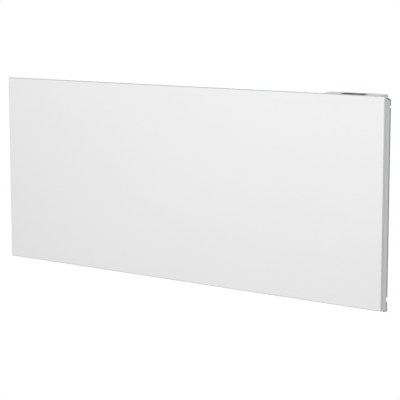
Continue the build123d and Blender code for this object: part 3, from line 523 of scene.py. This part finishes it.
# What each finish looks like, under the record's material slots. Names in Mm are the sizes of its patterns,
# and rolling lines have one on each of X, Y and Z. The orange peel of the paint is as wide as the real one.
# Pores, metal grain and rolling lines are under 0.1 mm there, and are drawn as coarse as they need to show.
finishes = {
    "white_glass": (backPaintedGlass, {
        "dark": "#E8E8E8", "light": "#EBEBEB", "roughness": 0.3, "coat": 0.6, "waveMm": 260,
    }),
    "white_steel": (powderCoat, {
        "dark": "#E7E8E8", "light": "#EDEEEE", "roughness": 0.6, "grainMm": 1.2,
    }),
    "grey_steel": (powderCoat, {
        "dark": "#B0B1B2", "light": "#B9BABB", "roughness": 0.5, "grainMm": 1.2,
    }),
    "bracket_white": (powderCoat, {
        "dark": "#DDDEDD", "light": "#E4E5E4", "roughness": 0.4, "grainMm": 1.5,
    }),
    "foam_tape": (softPolymer, {
        "dark": "#3E3F40", "light": "#4A4B4C", "roughness": 0.9, "bloom": 0.05, "grainMm": 0.5,
    }),
    "rubber": (softPolymer, {
        "dark": "#1E1F20", "light": "#2A2B2C", "roughness": 0.75, "bloom": 0.1, "grainMm": 0.7,
    }),
    "aluminium_sheet": (rolledSheet, {
        "dark": "#CFD1D3", "light": "#DADCDE", "roughness": 0.35, "lineMm": (83.3, 0.833, 0.833),
    }),
    "aluminium_fins": (rolledSheet, {
        "dark": "#B4B6B8", "light": "#C6C8CA", "roughness": 0.42, "lineMm": (50, 1.11, 1.11),
    }),
    "foil_plate": (rolledSheet, {
        "dark": "#B3B5B7", "light": "#C3C5C7", "roughness": 0.5, "lineMm": (40, 0.667, 0.667),
    }),
    "sheath_steel": (heatedSteel, {
        "dark": "#5E4F45", "straw": "#9A8667", "light": "#8C8A88", "roughness": 0.4, "bandMm": 38,
        "grainMm": 0.6,
    }),
    "spring_steel": (platedMetal, {
        "dark": "#A9ACB0", "light": "#C4C7CA", "roughness": 0.28, "cloudMm": 14, "grainMm": 0.5,
    }),
    "zinc_steel": (platedMetal, {
        "dark": "#AEB2B8", "light": "#CBCED2", "roughness": 0.36, "cloudMm": 5, "grainMm": 0.6,
    }),
    "brass_nut": (platedMetal, {
        "dark": "#B08A45", "light": "#CFA95F", "roughness": 0.3, "cloudMm": 4, "grainMm": 0.5,
    }),
    "ceramic": (steatite, {
        "dark": "#CFC8B8", "light": "#E6E1D4", "roughness": 0.85, "speckMm": 1.2, "grainMm": 0.8,
    }),
    "white_plastic": (moldedPlastic, {
        "dark": "#ECEDED", "light": "#F1F2F2", "roughness": 0.65, "grainMm": 0.8,
    }),
    "key_plastic": (moldedPlastic, {
        "dark": "#D6D8D8", "light": "#DDDFDF", "roughness": 0.5, "grainMm": 0.8,
    }),
    "grey_plastic": (moldedPlastic, {
        "dark": "#8D9093", "light": "#9A9DA0", "roughness": 0.55, "grainMm": 0.9,
    }),
    "dark_plastic": (moldedPlastic, {
        "dark": "#2B2D2F", "light": "#36383A", "roughness": 0.5, "grainMm": 0.9,
    }),
    "black_window": (smokedAcrylic, {
        "dark": "#525857", "light": "#5B6160", "roughness": 0.5, "scuffMm": 2.5,
    }),
    "board_green": (circuitBoard, {
        "dark": "#1F5A36", "light": "#2C6E44", "tin": "#C6C9C4", "roughness": 0.35, "regionMm": 11,
        "trackMm": 1.8, "padMm": 4.5,
    }),
    "transformer_black": (moldedPlastic, {
        "dark": "#1D1E20", "light": "#292B2D", "roughness": 0.4, "grainMm": 0.7,
    }),
    "capacitor_sleeve": (moldedPlastic, {
        "dark": "#20242B", "light": "#2C323B", "roughness": 0.25, "grainMm": 1.5,
    }),
    "ribbon_grey": (flatCable, {
        "dark": "#84878A", "light": "#B5B8BA", "roughness": 0.5, "coreMm": 1.27,
    }),
    "brown_silicone": (siliconeSleeve, {
        "dark": "#5A3420", "light": "#6B4129", "roughness": 0.45,
    }),
    "blue_silicone": (siliconeSleeve, {
        "dark": "#1E5A93", "light": "#2C6CA8", "roughness": 0.45,
    }),
    "green_silicone": (siliconeSleeve, {
        "dark": "#5D8F2E", "light": "#A9B83A", "roughness": 0.45,
    }),
}
materials = {slotName: recipe(slotName, finish) for slotName, (recipe, finish) in finishes.items()}
glassEdge = groundGlassEdge("ground_glass_edge", {
    "dark": "#E7EAE9", "light": "#EDF0EF", "roughness": 0.6, "gritMm": (2.5, 1.11, 2.5),
})
# the arris: the same ground glass as the edge, in a darker copy that paints shade onto the bevels
shadedArrisGlass = groundGlassEdge("glass_arris_painted_shade", {
    "dark": "#C4C7C6", "light": "#CACDCC", "roughness": 0.6, "gritMm": (2.5, 1.11, 2.5),
})
glassBack = backPaintedGlass("glass_back_enamel", {
    "dark": "#DFE0E0", "light": "#E6E7E7", "roughness": 0.6, "coat": 0.0, "waveMm": 260,
})
displayGlow = smokedAcrylic("display_clear_area", {
    "dark": "#5C6360", "light": "#676E6B", "roughness": 0.6, "scuffMm": 2.5,
})
markInk = printedMark("mark_ink", {"dark": "#4A4D50", "light": "#565A5D", "roughness": 0.6})
coreSheets = rolledSheet("core_sheets", {
    "dark": "#56585A", "light": "#7C7E81", "roughness": 0.45, "lineMm": (16.7, 0.417, 16.7),
})
print("finishes made:", len(bpy.data.materials))


# Front glass: one tempered sheet, corners eased, edges ground, white enamel behind, the arris painted
# darker as shade
frontGlass = {
    "corner": 2.0, "arris": 1.2,
    "flat": 0.95, "slant": 0.3,  # least cosines of the flat faces and of the arris, seen from the front
}


def makeFrontGlass(size):
    piece = addBlock(*nodeBox("glass_panel"))
    bevelEdges(piece, edgesAlong(1), size["corner"], segments=5)  # the four corners seen from the front
    bevelEdges(piece, edgesAcross(1), size["arris"], segments=2)  # round the front and round the back
    # the arris faces take the darker copy of the edge's finish: painted shade
    paintPiece(piece, materials["white_glass"], glassEdge, glassBack, shadedArrisGlass)
    front, edge, back, arris = range(4)  # the paints, as they were added
    for face in piece.data.polygons:
        facing = -face.normal.y
        face.material_index = (
            front if facing > size["flat"] else back if facing < -size["flat"]
            else arris if facing > size["slant"] else edge
        )
    smoothPiece(piece, angle=20)
    dressPiece(piece, "front_glass", "heater", "white_glass", "glass_panel")


makeFrontGlass(frontGlass)
print("front glass made")


# Display window: a smoked strip let into the cover's sloping front, with a printed rim round the clear part
displayStrip = {"thick": 1.6, "edge": 0.25, "rim": 1.5, "tilt": 3.576}


def makeDisplayStrip(size):
    (x0, front, _), (x1, back, top) = nodeBox("display_window")
    piece = addBlock((x0, front, top - size["thick"]), (x1, back, top))
    bevelEdges(piece, edgesAt(2, top), size["edge"], segments=2)
    editPiece(piece)
    pickFaces(piece, facesAt(2, top))
    insetFaces(size["rim"])
    turnAll(-radians(size["tilt"]), "X", (0, back, top))
    leaveEdit()
    paintPiece(piece, materials["black_window"], displayGlow)
    paintWidest(piece, axis=2, number=1)
    smoothPiece(piece)
    dressPiece(piece, "display_strip", "heater", "black_window", "display_window")


makeDisplayStrip(displayStrip)
print("display window made")


# Push keys: dished caps 7 mm across on a flange and a stem, each with its printed mark
pushKey = {
    "cap": 3.5, "flange": 4.3, "stem": 2.0,  # radii
    "capHigh": 3.1, "flangeThick": 1.5, "edge": 0.3, "rim": 0.6, "dish": 0.4, "floor": 0.9,
}
keyMark = {
    "ink": 0.04, "round": 0.4,  # height of the print, rounding of a stroke's corners over its width
    "ring": 1.4, "ringStroke": 0.3, "sliver": 0.02, "arc": 296, "opening": 58, "steps": 30,
    "tick": (0.3, 1.3), "tickShift": 1.0, "line": (2.6, 0.32), "lineGap": 0.8, "sign": (2.8, 0.36),
}


def makeKeyCap(nodeName, size):
    low, high = nodeBox(nodeName)
    x, y, top = (low[0] + high[0]) / 2, (low[1] + high[1]) / 2, high[2]
    shoulder = top - size["capHigh"]
    piece = addRod((x, y, (shoulder + top) / 2), size["cap"], top - shoulder, sides=48)
    bevelEdges(piece, edgesAt(2, top), size["edge"])
    editPiece(piece)
    pickFaces(piece, facesAt(2, top))
    insetFaces(size["rim"])  # flat rim
    insetFaces(size["floor"], size["dish"])  # dish for the fingertip
    pickFaces(piece, facesAt(2, shoulder))
    extrudeBy((0, 0, 0), size["flange"] / size["cap"], (x, y, shoulder))
    extrudeBy((0, 0, -size["flangeThick"]))
    extrudeBy((0, 0, 0), size["stem"] / size["flange"], (x, y, shoulder))
    extrudeBy((0, 0, low[2] - shoulder + size["flangeThick"]))
    leaveEdit()
    smoothPiece(piece, angle=35)
    return paintPiece(piece, materials["key_plastic"]), (x, y, top - size["dish"])


def makeMarkBar(centre, shift, width, depth, mark):
    # one printed stroke, shifted in Y from the key's centre, its ends rounded over
    x, y, z = centre
    low = (x - width / 2, y + shift - depth / 2, z)
    piece = addBlock(low, (low[0] + width, low[1] + depth, z + mark["ink"]))
    bevelEdges(piece, edgesAlong(2), min(width, depth) * mark["round"])
    return piece


def makeMarkRing(centre, mark):
    # the open ring of the standby mark: the end of a sliver spun round most of a turn
    x, y, z = centre
    outer, half = x + mark["ring"], mark["sliver"] / 2
    piece = addBlock((outer - mark["ringStroke"], y - half, z), (outer, y + half, z + mark["ink"]))
    editPiece(piece)
    pickFaces(piece, lambda c, n: n.y < straight)
    bpy.ops.mesh.delete(type="FACE")
    bpy.ops.mesh.select_all(action="SELECT")
    bpy.ops.mesh.spin(
        steps=mark["steps"], angle=radians(mark["arc"]), center=[c * mm for c in centre], axis=(0, 0, 1)
    )
    bpy.ops.mesh.select_all(action="SELECT")
    bpy.ops.mesh.remove_doubles(threshold=0.001 * mm)
    bpy.ops.mesh.fill_holes(sides=4)
    bpy.ops.mesh.select_all(action="SELECT")
    bpy.ops.mesh.normals_make_consistent(inside=False)
    turnAll(radians(mark["opening"]), "Z", centre)  # opening towards the back
    leaveEdit()
    return piece


def makeKeyMark(nodeName, centre, mark):
    if nodeName == "key_power":
        tick = makeMarkBar(centre, mark["tickShift"], *mark["tick"], mark)
        strokes = [makeMarkRing(centre, mark), tick]
    elif nodeName == "key_menu":
        shifts = (-mark["lineGap"], 0.0, mark["lineGap"])
        strokes = [makeMarkBar(centre, shift, *mark["line"], mark) for shift in shifts]
    else:
        width, stroke = mark["sign"]
        strokes = [makeMarkBar(centre, 0.0, width, stroke, mark)]
        if nodeName == "key_plus":  # the upright stroke, in two halves that meet the level one
            half = (width - stroke) / 2
            middle = (stroke + half) / 2
            strokes += [makeMarkBar(centre, shift, stroke, half, mark) for shift in (-middle, middle)]
    return paintPiece(joinPieces(strokes), markInk)


for nodeName in ("key_power", "key_minus", "key_plus", "key_menu"):
    cap, dishFloor = makeKeyCap(nodeName, pushKey)
    dressPiece(cap, nodeName + "_cap", nodeName, "key_plastic", nodeName)
    dressPiece(makeKeyMark(nodeName, dishFloor, keyMark), nodeName + "_mark", nodeName, "dark_plastic")
print("keys made")


# Screws: pan heads with a cross recess and a threaded shank, modelled once a size and copied
screwSizes = {
    "case": {"head": 3.5, "rise": 2.0, "shank": 2.0, "length": 6.0, "slot": 0.75, "arm": 1.7, "deep": 1.1},
    "board": {"head": 2.8, "rise": 1.8, "shank": 1.5, "length": 5.7, "slot": 0.6, "arm": 1.3, "deep": 1.0},
    "clamp": {"head": 2.8, "rise": 1.8, "shank": 1.6, "length": 10.0, "slot": 0.6, "arm": 1.3, "deep": 1.0},
    "tray": {"head": 3.5, "rise": 0.5, "shank": 2.0, "length": 6.0, "slot": 0.7, "arm": 1.4, "deep": 0.35},
    "well": {"head": 2.4, "rise": 1.4, "shank": 1.2, "length": 1.0, "slot": 0.6, "arm": 1.7, "deep": 0.7},
}
screwForm = {
    "crown": 0.55, "root": 0.82,  # rounded share of the head's rise, root over crest of the thread
    "pitch": 1.0, "over": 0.4,  # millimetres: a turn of the thread, the recess cutter above the head
    "turn": 0.7, "nextTurn": 1.9,  # radians: how far the first screw is driven, and each next one beyond it
}
screwInsets = {  # from the ends of the piece that a group goes through, by axis
    "duct_cover": {0: 41.0, 2: 4.5}, "control_housing": {0: 4.0, 2: 19.0}, "cord_clamp_bar": {0: 5.0},
    "power_board": {0: 4.5, 2: 4.5}, "control_board": {0: 2.0, 1: 5.0}, "front_tray": {0: 40.0},
}
towardsWall, upward, downward = -90.0, 0.0, 168.69  # the tray's bottom face leans down towards the wall


def makeScrew(size, form):
    # stands on its seat at the origin, head up, shank down
    rise, half = size["rise"], size["slot"] / 2
    head = addRod((0, 0, rise / 2), size["head"], rise)
    bevelEdges(head, edgesAt(2, rise), rise * form["crown"], segments=4)
    editPiece(head)
    pickFaces(head, facesAt(2, 0.0))
    extrudeBy((0, 0, 0), size["shank"] / size["head"])
    turns = int(size["length"] / form["pitch"])
    for turn in range(turns):  # thread crests and roots
        extrudeBy((0, 0, -size["length"] / turns), form["root"] if turn % 2 == 0 else 1 / form["root"])
    leaveEdit()
    cutter = addBlock((-half, -half, rise - size["deep"]), (half, half, rise + form["over"]))
    editPiece(cutter)
    for axis in (0, 1):  # grow the square into a cross
        for side in (-1, 1):
            pickFaces(cutter, lambda c, n: side * n[axis] > straight and abs(c[1 - axis]) < half / 2)
            shift = [0, 0, 0]
            shift[axis] = side * (size["arm"] - half)
            extrudeBy(shift)
    leaveEdit()
    applyModifier(head, "BOOLEAN", {"operation": "DIFFERENCE", "object": cutter, "solver": "EXACT"})
    bpy.data.objects.remove(cutter)
    smoothPiece(head, angle=35)
    return head


def seatScrew(screw, place, lean):
    # lean it so that its head points outward, and set it on its seat
    screw.rotation_euler = (radians(lean), 0, 0)
    screw.location = [p * mm for p in place]
    settle(screw)
    return screw


def setScrews(name, kind, seats):
    # a group of equal screws, each at its place and lean, and driven home to another angle
    pattern = makeScrew(screwSizes[kind], screwForm)
    screws = []
    for number, (place, lean) in enumerate(seats):
        screw = copyPiece(pattern)
        editPiece(screw)
        turnAll(screwForm["turn"] + number * screwForm["nextTurn"], "Z")
        leaveEdit()
        screws.append(seatScrew(screw, place, lean))
    bpy.data.objects.remove(pattern)
    joined = paintPiece(joinPieces(screws), materials["zinc_steel"])
    dressPiece(joined, name + "_set", "heater", "zinc_steel", name)


def spreadOver(nodeName, axis, count=2):
    # places at equal steps over a CAD node, inset alike from both its ends
    low, high = [corner[axis] for corner in nodeBox(nodeName)]
    inset = screwInsets[nodeName][axis]
    step = (high - low - 2 * inset) / (count - 1)
    return [low + inset + number * step for number in range(count)]


def seatLevel(name, kind):
    # the Y that the heads of a group turned to the wall stand on
    return nodeBox(name)[1][1] - screwSizes[kind]["rise"]


coverY = seatLevel("cover_screws", "case")
coverSeats = [
    ((x, coverY, z), towardsWall)
    for x in spreadOver("duct_cover", 0, count=4) for z in reversed(spreadOver("duct_cover", 2))
]
housingY = seatLevel("housing_screws", "case")
housingSeats = [
    ((x, housingY, z), towardsWall)
    for x in spreadOver("control_housing", 0) for z in spreadOver("control_housing", 2)
]
clampY = seatLevel("clamp_screws", "clamp")
clampZ = sum(corner[2] for corner in nodeBox("cord_clamp_bar")) / 2
clampSeats = [((x, clampY, clampZ), towardsWall) for x in spreadOver("cord_clamp_bar", 0)]
boardY = nodeBox("power_board")[1][1]
boardSeats = [
    ((x, boardY, z), towardsWall)
    for x in spreadOver("power_board", 0) for z in spreadOver("power_board", 2)
]
controlZ = nodeBox("control_board")[1][2]
boardSeats += [
    ((x, y, controlZ), upward)
    for x in spreadOver("control_board", 0) for y in spreadOver("control_board", 1)
]
trayY, trayZ = -70.6, -172.68  # on the leaning bottom face
traySeats = [((x, trayY, trayZ), downward) for x in spreadOver("front_tray", 0, count=5)]
setScrews("cover_screws", "case", coverSeats)
setScrews("housing_screws", "case", housingSeats)
setScrews("clamp_screws", "clamp", clampSeats)
setScrews("board_screws", "board", boardSeats)
setScrews("tray_screws", "tray", traySeats)
print("screws made")


# Parts on the power board, each standing on the board's back face
coilPart = {
    "cover": 3.5, "leg": 5.5, "cheek": 1.2, "lip": 1.0, "tape": 0.6,
    "stackEdge": 0.6, "coilEdge": 2.5, "cheekEdge": 0.8,
}


def makeTransformer(size):
    # a stack of iron sheets round a taped coil, wound on a bobbin with two cheeks
    (x0, y0, z0), (x1, y1, z1) = nodeBox("transformer")
    cover, leg, cheek, lip, tape = [size[key] for key in ("cover", "leg", "cheek", "lip", "tape")]
    stack = addBlock((x0, y0 + cover, z0), (x1, y1 - cover, z1))
    bevelEdges(stack, edgesAlong(1), size["stackEdge"])
    coil = addBlock((x0 + leg, y0 + tape, z0 + leg), (x1 - leg, y1 - tape, z1 - leg))
    bevelEdges(coil, edgesAlong(2), size["coilEdge"], segments=5)
    parts = [paintPiece(stack, coreSheets), paintPiece(coil, materials["transformer_black"])]
    for z in (z0 + leg - cheek, z1 - leg):
        plate = addBlock((x0 + leg - lip, y0, z), (x1 - leg + lip, y1, z + cheek))
        bevelEdges(plate, edgesAlong(2), size["cheekEdge"])
        parts.append(paintPiece(plate, materials["dark_plastic"]))
    whole = joinPieces(parts)
    smoothPiece(whole)
    dressPiece(whole, "coil_transformer", "heater", "transformer_black", "transformer")


relayPart = {
    "corner": 1.0, "seam": (1.6, 2.0), "seamDeep": 0.25, "rim": 0.6, "step": 0.2, "sunk": 0.4,
    "nub": 0.8, "nubHigh": 0.6, "nubIn": 3.0, "nubEdge": 0.2,
}


def makeRelay(size):
    # a sealed relay: rounded can with a seam above its base and a sunk lid with its vent nub
    base, (x1, y1, z1) = nodeBox("relay")
    can = addBlock(base, (x1, y1, z1))
    bevelEdges(can, edgesAlong(1), size["corner"])
    low, high = [base[1] + rise for rise in size["seam"]]
    cutAcross(can, 1, (low, high))
    editPiece(can)
    pickFaces(can, lambda c, n: low < c.y < high)
    bpy.ops.mesh.extrude_region_shrink_fatten(TRANSFORM_OT_shrink_fatten={"value": -size["seamDeep"] * mm})
    pickFaces(can, facesAt(1, y1))
    insetFaces(size["rim"])
    insetFaces(size["step"], size["sunk"])
    leaveEdit()
    middle = (x1 - size["nubIn"], y1 - size["nubHigh"] / 2, z1 - size["nubIn"])
    nub = addRod(middle, size["nub"], size["nubHigh"], sides=20, turn=alongY)
    bevelEdges(nub, edgesAt(1, y1), size["nubEdge"], segments=2)
    whole = joinPieces([can, nub])
    smoothPiece(whole)
    slotName = recordSlots["relay"]
    dressPiece(paintPiece(whole, materials[slotName]), "sealed_relay", "heater", slotName, "relay")


canPart = {
    "radius": 5.0, "apart": 14.0, "edge": 0.6, "groove": (1.6, 2.3, 3.0), "waist": 0.9,
    "rim": 0.9, "step": 0.15, "sunk": 0.2,
}


def makeCapacitors(size):
    # aluminium cans in shrink sleeves: a rolled groove near the base, bare metal at the end
    (_, low, z0), (x1, high, z1) = nodeBox("capacitors")
    x, waist = x1 - size["radius"], size["waist"]
    rings = [low + rise for rise in size["groove"]]
    cans = []
    for side in (-1, 1):
        z = (z0 + z1 + side * size["apart"]) / 2
        can = addRod((x, (low + high) / 2, z), size["radius"], high - low, sides=40, turn=alongY)
        bevelEdges(can, edgesAt(1, high), size["edge"])
        cutAcross(can, 1, rings)
        editPiece(can, "EDGE")
        pickEdges(can, edgesAt(1, rings[1]))
        bpy.ops.transform.resize(value=(waist, 1, waist), center_override=(x * mm, rings[1] * mm, z * mm))
        bpy.ops.mesh.select_mode(type="FACE")
        pickFaces(can, facesAt(1, high))
        insetFaces(size["rim"])
        insetFaces(size["step"], size["sunk"])
        leaveEdit()
        paintPiece(can, materials["capacitor_sleeve"], materials["aluminium_sheet"])
        paintWidest(can, axis=1, number=1)
        cans.append(can)
    whole = joinPieces(cans)
    smoothPiece(whole)
    dressPiece(whole, "capacitor_cans", "heater", "capacitor_sleeve", "capacitors")


clampRow = {
    "clamps": 3, "corner": 0.5, "wall": 1.6, "well": 2.6, "mouthWall": 2.4, "mouth": 3.0, "draft": 0.1,
}


def makeTerminalBlock(size):
    # lead clamps in a row: a screw down each well, a mouth for the lead below it
    (x0, y0, z0), (x1, y1, z1) = nodeBox("terminal_block")
    row = addBlock((x0, y0, z0), (x1, y1, z1))
    bevelEdges(row, edgesAlong(1), size["corner"])
    step = (x1 - x0) / size["clamps"]
    cutAcross(row, 0, [x0 + number * step for number in range(1, size["clamps"])])
    editPiece(row)
    pickFaces(row, facesAt(1, y1))
    insetFaces(size["wall"], apart=True)
    insetFaces(size["draft"], size["well"], apart=True)
    pickFaces(row, facesAt(2, z0, z1))
    insetFaces(size["mouthWall"], apart=True)
    insetFaces(size["draft"], size["mouth"], apart=True)
    leaveEdit()
    slotName = recordSlots["terminal_block"]
    parts = [paintPiece(row, materials[slotName])]
    for number in range(size["clamps"]):
        seat = (x0 + step * (number + 0.5), y1 - size["well"], (z0 + z1) / 2)
        screw = seatScrew(makeScrew(screwSizes["well"], screwForm), seat, towardsWall)
        parts.append(paintPiece(screw, materials["zinc_steel"]))
    whole = joinPieces(parts)
    smoothPiece(whole)
    dressPiece(whole, "lead_clamp_row", "heater", slotName, "terminal_block")


makeTransformer(coilPart)
makeRelay(relayPart)
makeCapacitors(canPart)
makeTerminalBlock(clampRow)
print("board parts made")


# Heating element: an X-shaped aluminium heat sink, its arms slit every few millimetres, on a round boss
finnedElement = {
    "boss": 6.5, "bossEdge": 0.8, "root": 5.4, "arm": 19.0, "armEdge": 0.4, "thick": 1.9, "lean": 40.0,
    "pitch": 10.0, "slit": 1.6,
}


def makeFinnedElement(size):
    (low, y0, z0), (high, y1, z1) = nodeBox("element_fins")
    y, z = (y0 + y1) / 2, (z0 + z1) / 2
    pitch, half, tip = size["pitch"], size["thick"] / 2, z + size["arm"]
    first, last = low + size["slit"] / 2, low + pitch - size["slit"] / 2
    arms = []
    for lean in (size["lean"], -size["lean"], 180 - size["lean"], size["lean"] - 180):
        arm = addBlock((first, y - half, z + size["root"]), (last, y + half, tip))
        bevelEdges(arm, edgesAt(2, tip), size["armEdge"], segments=2)
        editPiece(arm)
        turnAll(radians(lean), "X", (0, y, z))
        leaveEdit()
        arms.append(arm)
    fins = joinPieces(arms)
    applyModifier(fins, "ARRAY", {
        "count": int((high - low) / pitch), "use_relative_offset": False, "use_constant_offset": True,
        "constant_offset_displace": (pitch * mm, 0, 0),
    })
    boss = addRod(((low + high) / 2, y, z), size["boss"], high - low, sides=40, turn=alongX)
    bevelEdges(boss, edgesAt(0, low, high), size["bossEdge"], segments=2)
    element = paintPiece(joinPieces([boss, fins]), materials["aluminium_fins"])
    smoothPiece(element)
    dressPiece(element, "finned_element", "heater", "aluminium_fins", "element_fins")


makeFinnedElement(finnedElement)
print("element made")


# The other CAD nodes keep their shapes and take the finish of their slot in the record
for nodeName, slotName in recordSlots.items():
    for place in frame["nodes"][nodeName].material_slots:
        place.material = materials[slotName]
print("CAD nodes painted")


# Room: a pale floor well below the wall-hung heater, white all round for the camera and for reflections
room = {
    "floorZ": -0.95, "floorWide": 7.0, "paint": {"dark": "#E4E4E3", "light": "#E8E8E7", "roughness": 0.8},
    "fadeFrom": 0.7, "fadeTo": 1.7, "ambient": 0.5,
}


def seenDirectly(tree):
    # 1 for what the camera, a reflection or glass sees of the room, 0 for the light that the room gives
    path = addNode(tree, "ShaderNodeLightPath")
    seen = path.outputs["Is Camera Ray"]
    for ray in ("Is Glossy Ray", "Is Transmission Ray"):
        either = addNode(tree, "ShaderNodeMath", {"operation": "MAXIMUM"}, {0: seen, 1: path.outputs[ray]})
        seen = either.outputs[0]
    return seen


def paleFloor(name, size):
    # matt floor paint with a trace of roller texture, running out into the white background all round
    material, tree, shader, place = tonedMaterial(name, size["paint"], driftMm=180)
    grainRelief(tree, shader, place, grainMm=3.0, strength=0.3, depthMm=0.1)
    flat = addNode(tree, "ShaderNodeMapping", {"Scale": (1, 1, 0)}, {"Vector": place})
    reach = addNode(tree, "ShaderNodeVectorMath", {"operation": "LENGTH"}, {0: flat.outputs[0]})
    fade = addNode(
        tree, "ShaderNodeMapRange",
        {"interpolation_type": "SMOOTHSTEP", "From Min": size["fadeFrom"], "From Max": size["fadeTo"]},
        {"Value": reach.outputs["Value"]},
    )
    shown = addNode(
        tree, "ShaderNodeMath", {"operation": "MULTIPLY"}, {0: fade.outputs[0], 1: seenDirectly(tree)}
    )
    white = addNode(tree, "ShaderNodeEmission", {"Color": (1, 1, 1, 1), "Strength": 1.0})
    blend = addNode(
        tree, "ShaderNodeMixShader", None, {0: shown.outputs[0], 1: shader.outputs[0], 2: white.outputs[0]}
    )
    tree.links.new(blend.outputs[0], tree.nodes["Material Output"].inputs["Surface"])
    return material


def setRoom(size):
    clearSelection()
    bpy.ops.mesh.primitive_plane_add(size=1, location=(0, 0, size["floorZ"]))
    floor = bpy.context.object
    floor.name = "floor"
    floor.scale = (size["floorWide"], size["floorWide"], 1)
    settle(floor)
    paintPiece(floor, paleFloor("matt_floor", size))
    world = bpy.data.worlds.new("studio_air")
    bpy.context.scene.world = world
    world.use_nodes = True
    tree = world.node_tree
    air = tree.nodes["Background"]
    limits = {"To Min": size["ambient"], "To Max": 1.0}
    level = addNode(tree, "ShaderNodeMapRange", limits, {"Value": seenDirectly(tree)})
    air.inputs["Color"].default_value = (1, 1, 1, 1)
    tree.links.new(level.outputs[0], air.inputs["Strength"])


setRoom(room)

# Soft boxes: where each stands, what it points at, how wide and how strong
lamps = {
    "front_softbox": {
        "at": (0.8, -2.3, 0.35), "aim": (-0.5, 0.0, 1.3), "wide": 0.9, "watts": 22.5, "spread": 130.0,
    },
    "back_softbox": {
        "at": (-1.2, 2.8, 0.5), "aim": (0.0, 0.0, 0.0), "wide": 1.8, "watts": 22.0, "spread": 150.0,
    },
}
for lampName, setup in lamps.items():
    clearSelection()
    bpy.ops.object.light_add(type="AREA", location=setup["at"])
    lamp = bpy.context.object
    lamp.name = lampName
    lamp.data.shape = "DISK"
    lamp.data.size = setup["wide"]
    lamp.data.energy = setup["watts"]
    lamp.data.spread = radians(setup["spread"])
    aim = Vector([b - a for a, b in zip(setup["at"], setup["aim"])])
    lamp.rotation_euler = aim.to_track_quat("-Z", "Y").to_euler()
print("room and lamps set")

# Camera: a long lens, a little above the heater and off its right-hand corner
shot = {"at": (1.5256, -2.0353, 0.3340), "down": 8.3, "turn": 37.16, "lens": 130.07, "film": 36.0}
clearSelection()
bpy.ops.object.camera_add(
    location=shot["at"], rotation=(radians(90 - shot["down"]), 0, radians(shot["turn"]))
)
camera = bpy.context.object
camera.name = "camera"
camera.data.lens = shot["lens"]
camera.data.sensor_width = shot["film"]
bpy.context.scene.camera = camera
bpy.context.scene.view_settings.view_transform = "Standard"
